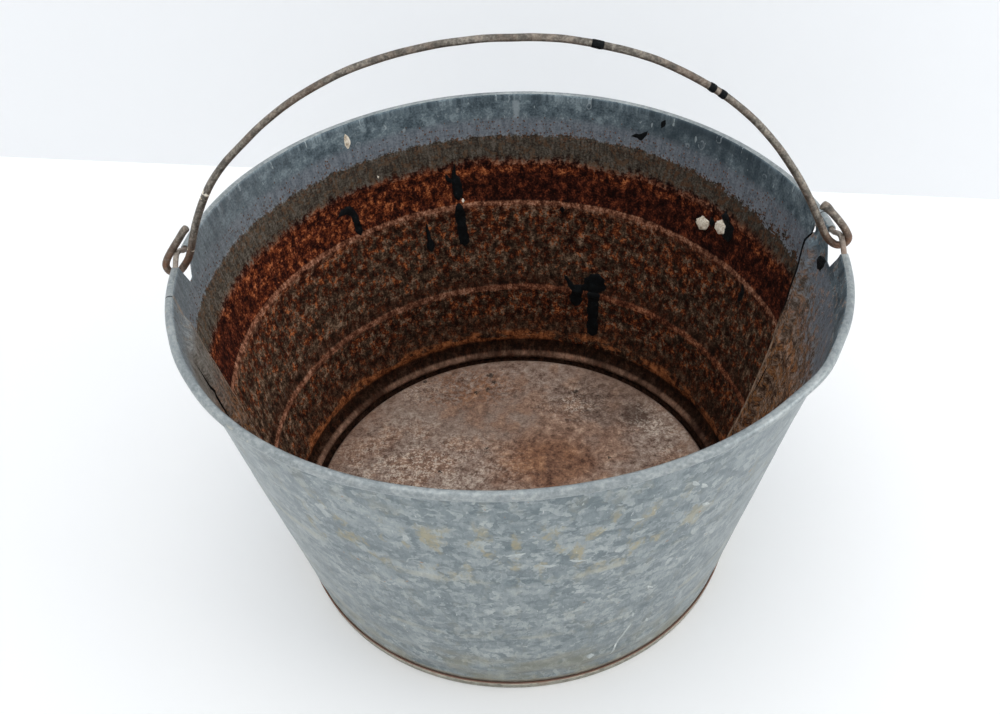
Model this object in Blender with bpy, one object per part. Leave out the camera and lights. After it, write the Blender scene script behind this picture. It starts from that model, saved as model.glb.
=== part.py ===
"""Round galvanised sheet-steel bucket with a wire bail.

The wall is two bent sheets, front_wall and back_wall, locked together along
two upright folded seams.  Their top edges are curled outwards around one
wire ring, rim_wire, which rises out of the curl as an arched ear at each
side, over a V notch cut in the sheet.  The bottom, base, is a pressed disc
whose flange runs down inside the wall and is folded up around its foot.
The bail is one bent wire whose hooked ends pass through the two ears.

Frame: origin on the floor at the centre of the foot, +Z up, the two ears on
the X axis, the front of the bucket towards -Y.  Dimensions in millimetres,
angles in degrees, converted to metres when the meshes are made.
"""
import math

import bpy

MM = 0.001

# ---- driving dimensions -------------------------------------------------
SHEET = 0.6             # thickness of the wall and bottom sheet
GAP = 0.3               # clearance left between touching pieces

ROLL_RADIUS = 170.0     # bucket axis to the centre of the rim curl
ROLL_HEIGHT = 198.6     # floor to the centre of the rim curl
RIM_WIRE_D = 2.8        # wire inside the curl
WALL_LEAN = 11.0        # wall angle from upright
WALL_FOOT_Z = 0.95      # lower edge of the wall sheet
CURL_START = 169.0      # where the straight wall meets the curl
CURL_END = -125.0       # where the curled edge stops, clear of the wall
CURL_STEPS = 9

SEAM_RIGHT = 9.0        # azimuth of the right joint between the two sheets
SEAM_LEFT = 191.0       # azimuth of the left joint
SEAM_WIDTH = 10.0       # width of the folded lock seam
SEAM_Z = (13.0, 184.5)  # height range of the folded seam

EAR_AZ = (0.0, 180.0)   # azimuths of the ears
EAR_HALF = 11.2         # half width of the opening in the curl
EAR_RISE = 6.0          # height of the ear arch above the curl centre
NOTCH_DEPTH = 11.1      # depth of the V notch below the curl centre
NOTCH_HALF = 1.3        # half width of the bottom of the V notch

DISC_Z = 14.3           # top of the bottom disc
DISC_RADIUS = 122.2     # edge of its flat
FOOT_RADIUS = 131.0     # outer radius of the foot fold near the floor
FOOT_HEIGHT = 6.2       # height of the folded foot band

BAIL_WIRE_D = 3.7
BAIL_AXIS_Z = ROLL_HEIGHT - 5.5   # centre of the hooks, where they turn
BAIL_HALF = 169.0       # half axis of the bow, along X
BAIL_RISE = 155.4       # half axis of the bow, upwards
BAIL_DROP = 40.0        # centre of the bow below the curl centre
HOOK_RADIUS = 6.9       # bend radius of the hook, to the wire's centre

SECTOR = 6.0            # azimuth step of the round pieces
BASE_START = 3.5        # azimuth of the bottom's first step, in line with the wall's

# ribs pressed in the wall: (height, inward depth of the inner surface)
WALL_ROWS = [
    (WALL_FOOT_Z, 0.0), (8.0, 0.0), (13.0, 0.0), (16.2, 1.5), (19.2, -0.4),
    (26.5, -0.4), (29.5, 1.0), (33.5, 0.8), (39.0, 0.0),
    (63.5, 0.0), (67.9, 1.3), (72.3, 0.0),
    (123.4, 0.0), (128.4, 1.3), (133.4, 0.0),
    (154.2, 0.0), (156.7, 0.6), (159.2, 0.0),
    (182.0, 0.0), (184.5, 0.0), (187.5, 0.0), (190.8, 0.0), (194.8, 0.0),
]

WIRE_R = RIM_WIRE_D / 2
CURL_IN = WIRE_R + GAP          # radius of the curl's hollow
CURL_OUT = CURL_IN + SHEET      # radius of the curl's outside


def cone_radius(z):
    """Inner radius of the wall at height z, without the ribs."""
    a = math.radians(CURL_START)
    r_top = ROLL_RADIUS + CURL_OUT * math.cos(a)
    z_top = ROLL_HEIGHT + CURL_OUT * math.sin(a)
    return r_top - (z_top - z) * math.tan(math.radians(WALL_LEAN))


def polar(r, az, z):
    a = math.radians(az)
    return (r * math.cos(a), r * math.sin(a), z)


# ---- materials ----------------------------------------------------------
def material(name, color, rough, metal):
    m = bpy.data.materials.new(name)
    m.use_nodes = True
    b = m.node_tree.nodes["Principled BSDF"]
    b.inputs["Base Color"].default_value = (*color, 1.0)
    b.inputs["Roughness"].default_value = rough
    b.inputs["Metallic"].default_value = metal
    m.diffuse_color = (*color, 1.0)
    return m


def make_object(name, verts, faces, mat, origin=(0.0, 0.0, 0.0), angle=35.0):
    """Mesh object from points in millimetres, with its own origin."""
    me = bpy.data.meshes.new(name)
    ox, oy, oz = origin
    me.from_pydata([((x - ox) * MM, (y - oy) * MM, (z - oz) * MM)
                    for x, y, z in verts], [], faces)
    me.validate()
    me.materials.append(mat)
    me.shade_smooth()
    me.set_sharp_from_angle(angle=math.radians(angle))
    ob = bpy.data.objects.new(name, me)
    ob.location = (ox * MM, oy * MM, oz * MM)
    bpy.context.collection.objects.link(ob)
    return ob


# ---- sheet built from a grid of its two surfaces -------------------------
def sheet_mesh(inner, outer, solid):
    """Closed sheet from two grids of points, [row][column].

    Rows run from the foot to the curl's edge, columns run with rising
    azimuth.  solid[row][column] says which cells hold metal.
    """
    rows, cols = len(inner), len(inner[0])
    verts, faces, index = [], [], {}

    def vert(side, i, j):
        key = (side, i, j)
        if key not in index:
            index[key] = len(verts)
            verts.append(inner[i][j] if side == 0 else outer[i][j])
        return index[key]

    def filled(i, j):
        return 0 <= i < rows - 1 and 0 <= j < cols - 1 and solid[i][j]

    for i in range(rows - 1):
        for j in range(cols - 1):
            if not filled(i, j):
                continue
            faces.append((vert(0, i, j), vert(0, i + 1, j),
                          vert(0, i + 1, j + 1), vert(0, i, j + 1)))
            faces.append((vert(1, i, j), vert(1, i, j + 1),
                          vert(1, i + 1, j + 1), vert(1, i + 1, j)))
            for ni, nj, a, b in ((i - 1, j, (i, j), (i, j + 1)),
                                 (i, j + 1, (i, j + 1), (i + 1, j + 1)),
                                 (i + 1, j, (i + 1, j + 1), (i + 1, j)),
                                 (i, j - 1, (i + 1, j), (i, j))):
                if not filled(ni, nj):
                    faces.append((vert(0, *a), vert(0, *b),
                                  vert(1, *b), vert(1, *a)))
    return verts, faces


def wall_rows():
    """Rows of the wall: straight part with ribs, then the curl."""
    rows = []
    across = SHEET / math.cos(math.radians(WALL_LEAN))
    for z, rib in WALL_ROWS:
        r = cone_radius(z) - rib
        rows.append({"curl": False, "z": z, "in": (r, z),
                     "out": (r + across, z), "r": r})
    for k in range(CURL_STEPS + 1):
        t = math.radians(CURL_START + (CURL_END - CURL_START) * k / CURL_STEPS)
        c, s = math.cos(t), math.sin(t)
        rows.append({"curl": True, "z": ROLL_HEIGHT,
                     "in": (ROLL_RADIUS + CURL_OUT * c, ROLL_HEIGHT + CURL_OUT * s),
                     "out": (ROLL_RADIUS + CURL_IN * c, ROLL_HEIGHT + CURL_IN * s),
                     "r": ROLL_RADIUS})
    return rows


STEP = SHEET + GAP


def lap_columns(kind):
    """Columns of one folded edge, as (s, inner n, outer n, plain s).

    s runs along the wall, 0 at the joint, negative towards the front; n is
    measured outwards from the wall's inner surface.  'under' is the back
    sheet, whose edge folds inwards; 'over' is the front sheet, which steps
    inside the wall and folds back outwards.  plain s is where the column
    stands in the rows that aren't folded, or None where it isn't there.
    """
    w = SEAM_WIDTH
    if kind == "over":
        n3 = -3 * STEP
        return [
            (-w - 4.5, 0.0, SHEET, -w - 4.5),
            (-w - 1.8, n3, n3 + SHEET, -w - 1.8),
            (0.0, n3, n3 + SHEET, -GAP),
            (1.2, -1.5, -1.5, None),
            (0.0, -GAP, -STEP, None),
            (-w + 0.8, -GAP, -STEP, None),
        ]
    return [
        (0.0, 0.0, SHEET, 0.0),
        (-w, 0.0, SHEET, None),
        (-w - 0.6, -0.6, -0.6, None),
        (-w, -STEP - GAP, -2 * STEP, None),
        (-0.5, -STEP - GAP, -2 * STEP, None),
    ]


def lap_point(row, col, kind, joint, sign, folded, surface):
    """Point of a folded edge's column on one row."""
    s, n_in, n_out, plain = col
    across = 1.0 / math.cos(math.radians(WALL_LEAN))
    if row["curl"]:
        r, z = row[surface]
        s_use = plain if plain is not None else s
        return polar(r, joint + sign * math.degrees(s_use / ROLL_RADIUS), z)
    if not folded:
        s_use = plain if plain is not None else s
        n = 0.0 if surface == "in" else SHEET
    else:
        s_use = s
        n = n_in if surface == "in" else n_out
        if n_in == n_out:           # middle of a fold, the sheet lies across
            if kind == "over":
                s_use = s if surface == "in" else s - SHEET
            else:
                s_use = s if surface == "in" else s - SHEET
    r = row["r"] + n * across
    return polar(r, joint + sign * math.degrees(s_use / row["r"]), row["z"])


def notch_half(row):
    """Half width of the ear notch on a row."""
    if row["curl"]:
        return EAR_HALF
    z0 = ROLL_HEIGHT - NOTCH_DEPTH
    if row["z"] < z0 - 0.01:
        return 2.6
    slope = (EAR_HALF - NOTCH_HALF) / (ROLL_HEIGHT + 0.4 - z0)
    return NOTCH_HALF + (row["z"] - z0) * slope


def wall_shell(name, kind, start, end, ear, stations, mat):
    """One wall sheet, from its start joint to its end joint.

    kind is the type of its folded edges; ear is the azimuth of its notch.
    """
    rows = wall_rows()
    lap = lap_columns(kind)
    lo, hi = SEAM_Z
    zs = [r["z"] for r in rows if not r["curl"]]
    if kind == "under":             # one row shorter at each end
        lo = min(z for z in zs if z > lo)
        hi = max(z for z in zs if z < hi)
    # the sign turns s so that negative s points to the front at each joint
    back = kind == "under"
    if back:
        first = [("lap", c, start, 1.0) for c in reversed(lap)]
        last = [("lap", c, end, -1.0) for c in lap]
    else:
        first = [("lap", c, start, -1.0) for c in reversed(lap)]
        last = [("lap", c, end, 1.0) for c in lap]
    middle = [("az", a, 0, 0) for a in stations if a < ear - 4.5]
    middle += [("notch", ear, -1.0, 0), ("notch", ear, 1.0, 0)]
    middle += [("az", a, 0, 0) for a in stations if a > ear + 4.5]
    cols = first + middle + last
    inner, outer = [], []
    for row in rows:
        folded = (not row["curl"]) and lo - 0.01 <= row["z"] <= hi + 0.01
        pi, po = [], []
        for tag, a, b, c in cols:
            if tag == "lap":
                pi.append(lap_point(row, a, kind, b, c, folded, "in"))
                po.append(lap_point(row, a, kind, b, c, folded, "out"))
            else:
                az = a
                if tag == "notch":
                    az = a + b * math.degrees(notch_half(row) / row["r"])
                pi.append(polar(row["in"][0], az, row["in"][1]))
                po.append(polar(row["out"][0], az, row["out"][1]))
        inner.append(pi)
        outer.append(po)
    solid = []
    z_notch = ROLL_HEIGHT - NOTCH_DEPTH
    for i in range(len(rows) - 1):
        a, b = rows[i], rows[i + 1]
        folded = (not b["curl"]) and lo - 0.01 <= a["z"] and b["z"] <= hi + 0.01
        line = []
        for j in range(len(cols) - 1):
            ca, cb = cols[j], cols[j + 1]
            ok = True
            if ca[0] == "notch" and cb[0] == "notch":
                ok = a["z"] < z_notch - 0.01
            elif ca[0] == "lap" and cb[0] == "lap":
                if ca[1][3] is None or cb[1][3] is None:
                    ok = folded
            line.append(ok)
        solid.append(line)
    verts, faces = sheet_mesh(inner, outer, solid)
    return make_object(name, verts, faces, mat, angle=40.0)


# ---- revolved and swept pieces ------------------------------------------
def revolved(name, profile, mat, angle):
    """Solid turned about Z; the profile starts and ends on the axis."""
    n = round(360.0 / SECTOR)
    verts = [(0.0, 0.0, profile[0][1]), (0.0, 0.0, profile[-1][1])]
    ring = profile[1:-1]
    for r, z in ring:
        verts += [polar(r, BASE_START + k * SECTOR, z) for k in range(n)]

    def at(i, k):
        return 2 + i * n + k % n

    faces = []
    for k in range(n):
        faces.append((0, at(0, k), at(0, k + 1)))
        faces.append((1, at(len(ring) - 1, k + 1), at(len(ring) - 1, k)))
        for i in range(len(ring) - 1):
            faces.append((at(i, k), at(i + 1, k), at(i + 1, k + 1), at(i, k + 1)))
    return make_object(name, verts, faces, mat, angle=angle)


def swept(name, frames, radius, sides, closed, mat, origin=(0, 0, 0)):
    """Round wire through frames of (centre, first axis, second axis)."""
    verts, faces = [], []
    for c, u, v in frames:
        for k in range(sides):
            a = 2 * math.pi * (k + 0.5) / sides
            verts.append(tuple(c[i] + radius * (math.cos(a) * u[i]
                                                + math.sin(a) * v[i])
                               for i in range(3)))
    n = len(frames)
    for i in range(n if closed else n - 1):
        for k in range(sides):
            a, b = i * sides, ((i + 1) % n) * sides
            k2 = (k + 1) % sides
            faces.append((a + k, a + k2, b + k2, b + k))
    if not closed:
        faces.append(tuple(reversed(range(sides))))
        faces.append(tuple((n - 1) * sides + k for k in range(sides)))
    return make_object(name, verts, faces, mat, origin=origin, angle=50.0)


def ear_profile():
    """Arch of the ear: (distance along the rim, height above the curl)."""
    pts = [(EAR_HALF, 0.0), (EAR_HALF - 1.5, 0.3), (EAR_HALF - 2.7, 1.3),
           (EAR_HALF - 3.6, 2.8), (EAR_HALF - 4.7, 4.4), (EAR_HALF - 6.6, 5.6)]
    pts = [(s, h * EAR_RISE / 6.0) for s, h in pts] + [(1.6, EAR_RISE)]
    left = [(-s, h) for s, h in pts]
    return left + [(s, h) for s, h in reversed(pts)]


def rim_wire_frames(plain):
    """Frames of the closed rim wire, with an arch at each ear."""
    path = []
    for a in plain:
        path.append((a, 0.0))
    for ear in EAR_AZ:
        for s, h in ear_profile():
            path.append((ear % 360.0 + math.degrees(s / ROLL_RADIUS), h))
    path = sorted(path, key=lambda p: p[0] % 360.0)
    pts = [polar(ROLL_RADIUS, a, ROLL_HEIGHT + h) for a, h in path]
    frames = []
    n = len(pts)
    for i, (a, h) in enumerate(path):
        p, q = pts[i - 1], pts[(i + 1) % n]
        t = [q[k] - p[k] for k in range(3)]
        u = polar(1.0, a, 0.0)
        v = (t[1] * u[2] - t[2] * u[1], t[2] * u[0] - t[0] * u[2],
             t[0] * u[1] - t[1] * u[0])
        ln = math.sqrt(sum(c * c for c in v))
        frames.append((pts[i], u, tuple(c / ln for c in v)))
    return frames


def bail_path():
    """Centre line of the bail in the XZ plane, from one hook to the other."""
    zc = ROLL_HEIGHT - BAIL_DROP
    bow = []
    steps = 12
    t0 = math.degrees(math.asin((BAIL_DROP + 13.0) / BAIL_RISE))
    for k in range(steps + 1):
        t = math.radians(t0 + (90.0 - t0) * k / steps)
        bow.append((BAIL_HALF * math.cos(t), zc + BAIL_RISE * math.sin(t)))
    # hook: leg, bend under the ear, tail leaning back over the ear
    cx, cz = ROLL_RADIUS + 0.6, BAIL_AXIS_Z + HOOK_RADIUS
    hook = [(ROLL_RADIUS - 11.9, cz + 11.0)]
    for deg in (195.0, 225.0, 250.0, 270.0, 290.0, 315.0, 345.0, 375.0):
        a = math.radians(deg)
        hook.append((cx + HOOK_RADIUS * math.cos(a),
                     cz + HOOK_RADIUS * math.sin(a)))
    hook.append((ROLL_RADIUS + 3.6, ROLL_HEIGHT + 8.4))
    hook.append((ROLL_RADIUS - 4.2, ROLL_HEIGHT + 18.6))
    half = list(reversed(hook)) + bow
    return half + [(-x, z) for x, z in reversed(half[:-1])]


def bail_frames():
    pts = bail_path()
    frames = []
    for i, (x, z) in enumerate(pts):
        p = pts[max(i - 1, 0)]
        q = pts[min(i + 1, len(pts) - 1)]
        tx, tz = q[0] - p[0], q[1] - p[1]
        ln = math.hypot(tx, tz)
        tx, tz = tx / ln, tz / ln
        frames.append(((x, 0.0, z), (tz, 0.0, -tx), (0.0, 1.0, 0.0)))
    return frames


# ---- build ----------------------------------------------------------------
def build():
    for ob in list(bpy.data.objects):
        bpy.data.objects.remove(ob, do_unlink=True)

    zinc = material("galvanised_front", (0.36, 0.40, 0.42), 0.48, 0.75)
    zinc_back = material("galvanised_back", (0.34, 0.38, 0.40), 0.50, 0.75)
    rusty = material("rusted_bottom", (0.29, 0.21, 0.17), 0.85, 0.2)
    rim = material("galvanised_wire", (0.38, 0.33, 0.29), 0.60, 0.6)
    bow = material("weathered_steel_wire", (0.24, 0.21, 0.18), 0.55, 0.7)

    front_stations = [202.0 + SECTOR * k for k in range(26)]
    back_stations = [15.0 + SECTOR * k for k in range(27)] + [186.0]
    wall_shell("front_wall", "over", SEAM_LEFT, SEAM_RIGHT + 360.0,
               EAR_AZ[0] + 360.0, front_stations, zinc)
    wall_shell("back_wall", "under", SEAM_RIGHT, SEAM_LEFT,
               EAR_AZ[1], back_stations, zinc_back)

    r_in = cone_radius(FOOT_HEIGHT) + SHEET / math.cos(math.radians(WALL_LEAN))
    d, t = DISC_RADIUS, SHEET
    profile = [
        (0.0, DISC_Z), (d - 2.6, DISC_Z), (d, DISC_Z - 0.7), (d + 1.8, DISC_Z - 2.4),
        (d + 2.7, DISC_Z - 4.7), (128.55, 2.6), (128.8, 1.2), (129.05, t),
        (130.2, t), (130.42, 1.25), (r_in + 0.42, FOOT_HEIGHT),
        (r_in + 0.42 + 0.62, FOOT_HEIGHT - 0.1), (FOOT_RADIUS + 0.05, 1.0),
        (FOOT_RADIUS - 0.7, 0.0), (128.75, 0.0), (128.2, 1.0), (127.95, 2.4),
        (d + 2.1, DISC_Z - 4.8), (d + 1.25, DISC_Z - 2.7),
        (d - 0.35, DISC_Z - 1.25), (d - 2.7, DISC_Z - t), (0.0, DISC_Z - t),
    ]
    revolved("base", profile, rusty, 40.0)

    lap = math.degrees(1.0 / ROLL_RADIUS)
    over = [c[3] * lap for c in lap_columns("over") if c[3] is not None]
    plain = [a % 360.0 for a in front_stations + back_stations]
    plain += [SEAM_RIGHT + a for a in over] + [SEAM_LEFT - a for a in over]
    plain += [SEAM_RIGHT, SEAM_LEFT]
    plain = sorted({round(a, 6) for a in plain})
    clear = math.degrees((EAR_HALF + 1.2) / ROLL_RADIUS)
    plain = [a for a in plain
             if min(abs((a - e + 180.0) % 360.0 - 180.0) for e in EAR_AZ) > clear]
    thin = []
    for a in plain:                 # drop stations that almost coincide
        if not thin or a - thin[-1] > 0.5:
            thin.append(a)
    swept("rim_wire", rim_wire_frames(thin), WIRE_R, 8, True, rim)

    swept("bail", bail_frames(), BAIL_WIRE_D / 2, 8, False, bow,
          origin=(0.0, 0.0, BAIL_AXIS_Z))


build()
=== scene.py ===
import math

import bmesh
import bpy
import numpy as np
from mathutils import Matrix, Vector, noise


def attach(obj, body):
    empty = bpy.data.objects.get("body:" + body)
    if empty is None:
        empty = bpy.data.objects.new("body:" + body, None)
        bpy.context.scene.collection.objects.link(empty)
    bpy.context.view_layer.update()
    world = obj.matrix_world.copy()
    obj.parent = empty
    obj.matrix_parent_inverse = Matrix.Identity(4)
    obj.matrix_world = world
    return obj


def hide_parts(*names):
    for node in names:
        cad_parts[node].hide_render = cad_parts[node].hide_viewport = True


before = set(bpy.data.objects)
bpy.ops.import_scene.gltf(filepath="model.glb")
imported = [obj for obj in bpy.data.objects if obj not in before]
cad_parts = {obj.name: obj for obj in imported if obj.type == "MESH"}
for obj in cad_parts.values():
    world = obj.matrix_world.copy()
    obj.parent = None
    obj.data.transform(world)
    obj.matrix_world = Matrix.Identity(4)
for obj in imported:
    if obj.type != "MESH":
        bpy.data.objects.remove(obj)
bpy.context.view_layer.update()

MM = 0.001

# ---------------------------------------------------------------- dimensions
# millimetres and degrees, the same frame as the CAD: +Z up, ears on X
SHEET, GAP = 0.6, 0.3
STEP = SHEET + GAP
ROLL_RADIUS, ROLL_HEIGHT = 170.0, 198.6
WIRE_R = 1.4
CURL_IN = WIRE_R + GAP
CURL_OUT = CURL_IN + SHEET
WALL_LEAN = 11.0
WALL_FOOT_Z = 0.95
CURL_START, CURL_END = 169.0, -125.0
SEAM_RIGHT, SEAM_LEFT = 9.3, 191.0
SEAM_WIDTHS = {"right": 8.0, "left": 18.0}   # width of each folded lap
SEAM_LO, SEAM_HI = 13.0, 184.5
DISC_Z, DISC_RADIUS = 14.3, 124.9
FOOT_RADIUS, FOOT_HEIGHT = 131.0, 6.2

# the real bucket is a little out of true: its ear axis stands off the middle
SHIFT = (-1.24, 3.39)
TWIST = 3.2


def out_of_round(az):
    """How far the rim stands off a true circle, in mm, at this azimuth."""
    t = math.radians(az - TWIST)
    h = (-0.196 * math.cos(2 * t) - 0.988 * math.sin(2 * t)
         + 0.271 * math.cos(3 * t) - 1.403 * math.sin(3 * t)
         - 0.311 * math.cos(4 * t) - 0.42 * math.sin(4 * t)
         + 0.703 * math.cos(t) + 2.012 * math.sin(t))
    return h


def smooth(a, b, x):
    t = min(max((x - a) / (b - a), 0.0), 1.0)
    return t * t * (3 - 2 * t)


def wrap(a):
    return (a + 180.0) % 360.0 - 180.0


def dent(az, z):
    """Shallow dents of the sheet, in mm, none near the foot."""
    a = math.radians(az)
    p = Vector((math.cos(a) * 2.3, math.sin(a) * 2.3, z * 0.013))
    d = 0.55 * noise.noise(p) + 0.28 * noise.noise(p * 2.7 + Vector((3.1, 0, 0)))
    return d * smooth(40.0, 95.0, z)


def bulge(z):
    return (max(z, 0.0) / ROLL_HEIGHT) ** 1.5


def kink(az, z):
    """Local outward bend of the rim where it was knocked."""
    d = wrap(az - 326.0)
    k = 0.0
    if abs(d) < 9:
        k = 1.0 * math.cos(math.radians(d * 10)) ** 2
    return k * smooth(120, 198, z)


def place(r, az, z):
    """Point at this radius, azimuth and height on the out-of-true bucket."""
    a = math.radians(az)
    r = r + out_of_round(az) * bulge(z) + dent(az, z) + kink(az, z)
    near = min(abs(wrap(az - SEAM_RIGHT + 2.2)), abs(wrap(az - SEAM_LEFT - 2.0)))
    if near < 9.0 and 50.0 < z < 170.0:
        r += rib(z) * 0.72 * (1.0 - smooth(3.0, 9.0, near))
    return (SHIFT[0] + r * math.cos(a), SHIFT[1] + r * math.sin(a), z)


# height, inward depth of the pressed ribs and beads
RIBS = [
    (0.0, 0.0), (10.0, 0.0), (12.6, 0.9), (14.2, 2.7), (15.8, 3.4), (17.6, 2.1),
    (19.8, 0.1), (22.5, -0.5), (25.8, -0.3), (28.0, 0.5), (30.2, 1.0),
    (33.5, 0.8), (36.5, 0.3), (39.5, 0.0),
    (62.5, 0.0), (65.3, 0.6), (67.9, 1.4), (70.5, 0.6), (73.3, 0.0),
    (122.0, 0.0), (125.0, 0.6), (128.4, 1.4), (131.8, 0.6), (134.8, 0.0),
    (153.2, 0.0), (156.7, 0.7), (160.2, 0.0), (250.0, 0.0),
]


def rib(z):
    for (z0, d0), (z1, d1) in zip(RIBS, RIBS[1:]):
        if z0 <= z <= z1:
            return d0 + (d1 - d0) * smooth(z0, z1, z)
    return 0.0


# the side joints aren't quite straight: height, azimuth added to SEAM_RIGHT and SEAM_LEFT
LEAN_RIGHT = [(0.0, -1.0), (37.0, -1.8), (75.0, -3.8), (98.0, -4.3), (120.0, -4.4), (143.0, -3.4), (165.0, -2.3), (185.0, -0.9), (205.0, -0.8)]
LEAN_LEFT = [(0.0, 0.9), (100.0, 1.0), (121.0, 1.2), (150.0, 1.8), (171.0, 2.4), (184.0, 2.3), (190.0, 1.2), (205.0, 0.7)]


def joint_lean(side, z):
    table = LEAN_RIGHT if side == "right" else LEAN_LEFT
    for (z0, a0), (z1, a1) in zip(table, table[1:]):
        if z0 <= z <= z1:
            return a0 + (a1 - a0) * smooth(z0, z1, z)
    return table[-1][1]


def cone_radius(z):
    a = math.radians(CURL_START)
    r_top = ROLL_RADIUS + CURL_OUT * math.cos(a)
    z_top = ROLL_HEIGHT + CURL_OUT * math.sin(a)
    return r_top - (z_top - z) * math.tan(math.radians(WALL_LEAN))


# ---------------------------------------------------------------- node helper
class Graph:
    """Short way to write a material's nodes."""

    def __init__(self, name):
        self.mat = bpy.data.materials.new(name)
        self.mat.use_nodes = True
        self.t = self.mat.node_tree
        self.t.nodes.clear()
        self.out = self.t.nodes.new("ShaderNodeOutputMaterial")
        self.b = self.t.nodes.new("ShaderNodeBsdfPrincipled")
        self.t.links.new(self.b.outputs[0], self.out.inputs[0])

    def n(self, kind, **kw):
        node = self.t.nodes.new(kind)
        for k, v in kw.items():
            setattr(node, k, v)
        return node

    def put(self, socket, value):
        if hasattr(value, "is_output"):
            self.t.links.new(value, socket)
        elif isinstance(value, (tuple, list)):
            v = list(value)
            if socket.type == "RGBA" and len(v) == 3:
                v.append(1.0)
            socket.default_value = v
        elif value is not None:
            socket.default_value = value

    def math(self, op, a, b=None, c=None, clamp=False):
        m = self.n("ShaderNodeMath", operation=op, use_clamp=clamp)
        self.put(m.inputs[0], a)
        if b is not None:
            self.put(m.inputs[1], b)
        if c is not None:
            self.put(m.inputs[2], c)
        return m.outputs[0]

    def add(self, a, b): return self.math("ADD", a, b)
    def sub(self, a, b): return self.math("SUBTRACT", a, b)
    def mul(self, a, b): return self.math("MULTIPLY", a, b)
    def maxi(self, a, b): return self.math("MAXIMUM", a, b)
    def mini(self, a, b): return self.math("MINIMUM", a, b)

    def vmath(self, op, a, b=None, scale=None):
        m = self.n("ShaderNodeVectorMath", operation=op)
        self.put(m.inputs[0], a)
        if b is not None:
            self.put(m.inputs[1], b)
        if scale is not None:
            self.put(m.inputs["Scale"], scale)
        return m.outputs[0]

    def attr(self, name):
        a = self.n("ShaderNodeAttribute", attribute_name=name)
        return a

    def coord(self):
        return self.n("ShaderNodeTexCoord").outputs["Object"]

    def split(self, v):
        s = self.n("ShaderNodeSeparateXYZ")
        self.put(s.inputs[0], v)
        return s.outputs[0], s.outputs[1], s.outputs[2]

    def join(self, x, y, z=0.0):
        s = self.n("ShaderNodeCombineXYZ")
        self.put(s.inputs[0], x)
        self.put(s.inputs[1], y)
        self.put(s.inputs[2], z)
        return s.outputs[0]

    def mapped(self, v, scale=(1, 1, 1), loc=(0, 0, 0), rot=(0, 0, 0)):
        m = self.n("ShaderNodeMapping")
        self.put(m.inputs[0], v)
        m.inputs["Location"].default_value = loc
        m.inputs["Rotation"].default_value = rot
        m.inputs["Scale"].default_value = scale
        return m.outputs[0]

    def noise(self, v, scale, detail=3.0, rough=0.5, distort=0.0, color=False):
        m = self.n("ShaderNodeTexNoise")
        self.put(m.inputs["Vector"], v)
        m.inputs["Scale"].default_value = scale
        m.inputs["Detail"].default_value = detail
        m.inputs["Roughness"].default_value = rough
        m.inputs["Distortion"].default_value = distort
        return m.outputs["Color" if color else "Fac"]

    def voronoi(self, v, scale, feature="F1", rand=1.0, metric="EUCLIDEAN"):
        m = self.n("ShaderNodeTexVoronoi", feature=feature)
        if feature != "DISTANCE_TO_EDGE":
            m.distance = metric
        self.put(m.inputs["Vector"], v)
        m.inputs["Scale"].default_value = scale
        m.inputs["Randomness"].default_value = rand
        return m

    def warp(self, v, scale, amount, detail=2.0):
        """The coordinate, pushed about by noise, amount in metres."""
        c = self.noise(v, scale, detail, color=True)
        c = self.vmath("SUBTRACT", c, (0.5, 0.5, 0.5))
        c = self.vmath("SCALE", c, scale=amount * 2)
        return self.vmath("ADD", v, c)

    def ramp(self, fac, stops, mode="LINEAR"):
        r = self.n("ShaderNodeValToRGB")
        r.color_ramp.interpolation = mode
        els = r.color_ramp.elements
        els.remove(els[-1])
        for i, (p, c) in enumerate(stops):
            if isinstance(c, (int, float)):
                c = (c, c, c)
            e = els[0] if i == 0 else els.new(p)
            if i == 0:
                e.position = p
            e.color = (*c, 1.0)
        self.put(r.inputs[0], fac)
        return r.outputs[0]

    def step(self, x, lo, hi):
        """0 below lo, 1 above hi, smooth between."""
        m = self.n("ShaderNodeMapRange", interpolation_type="SMOOTHSTEP")
        self.put(m.inputs["Value"], x)
        self.put(m.inputs["From Min"], lo)
        self.put(m.inputs["From Max"], hi)
        m.inputs["To Min"].default_value = 0.0
        m.inputs["To Max"].default_value = 1.0
        return m.outputs[0]

    def lerp(self, x, lo, hi, a=0.0, b=1.0):
        m = self.n("ShaderNodeMapRange", clamp=True)
        self.put(m.inputs["Value"], x)
        self.put(m.inputs["From Min"], lo)
        self.put(m.inputs["From Max"], hi)
        self.put(m.inputs["To Min"], a)
        self.put(m.inputs["To Max"], b)
        return m.outputs[0]

    def band(self, x, centre, half, soft):
        """1 within half of centre, fading over soft."""
        d = self.math("ABSOLUTE", self.sub(x, centre))
        return self.sub(1.0, self.step(d, half, half + soft))

    def mix(self, fac, a, b, mode="MIX"):
        m = self.n("ShaderNodeMix", data_type="RGBA", blend_type=mode)
        self.put(m.inputs[0], fac)
        self.put(m.inputs[6], a)
        self.put(m.inputs[7], b)
        return m.outputs[2]

    def mixf(self, fac, a, b):
        m = self.n("ShaderNodeMix", data_type="FLOAT")
        self.put(m.inputs[0], fac)
        self.put(m.inputs[2], a)
        self.put(m.inputs[3], b)
        return m.outputs[0]

    def bump(self, height, dist, strength=1.0, normal=None):
        m = self.n("ShaderNodeBump")
        m.inputs["Strength"].default_value = strength
        m.inputs["Distance"].default_value = dist
        self.put(m.inputs["Height"], height)
        if normal is not None:
            self.put(m.inputs["Normal"], normal)
        return m.outputs[0]

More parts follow.
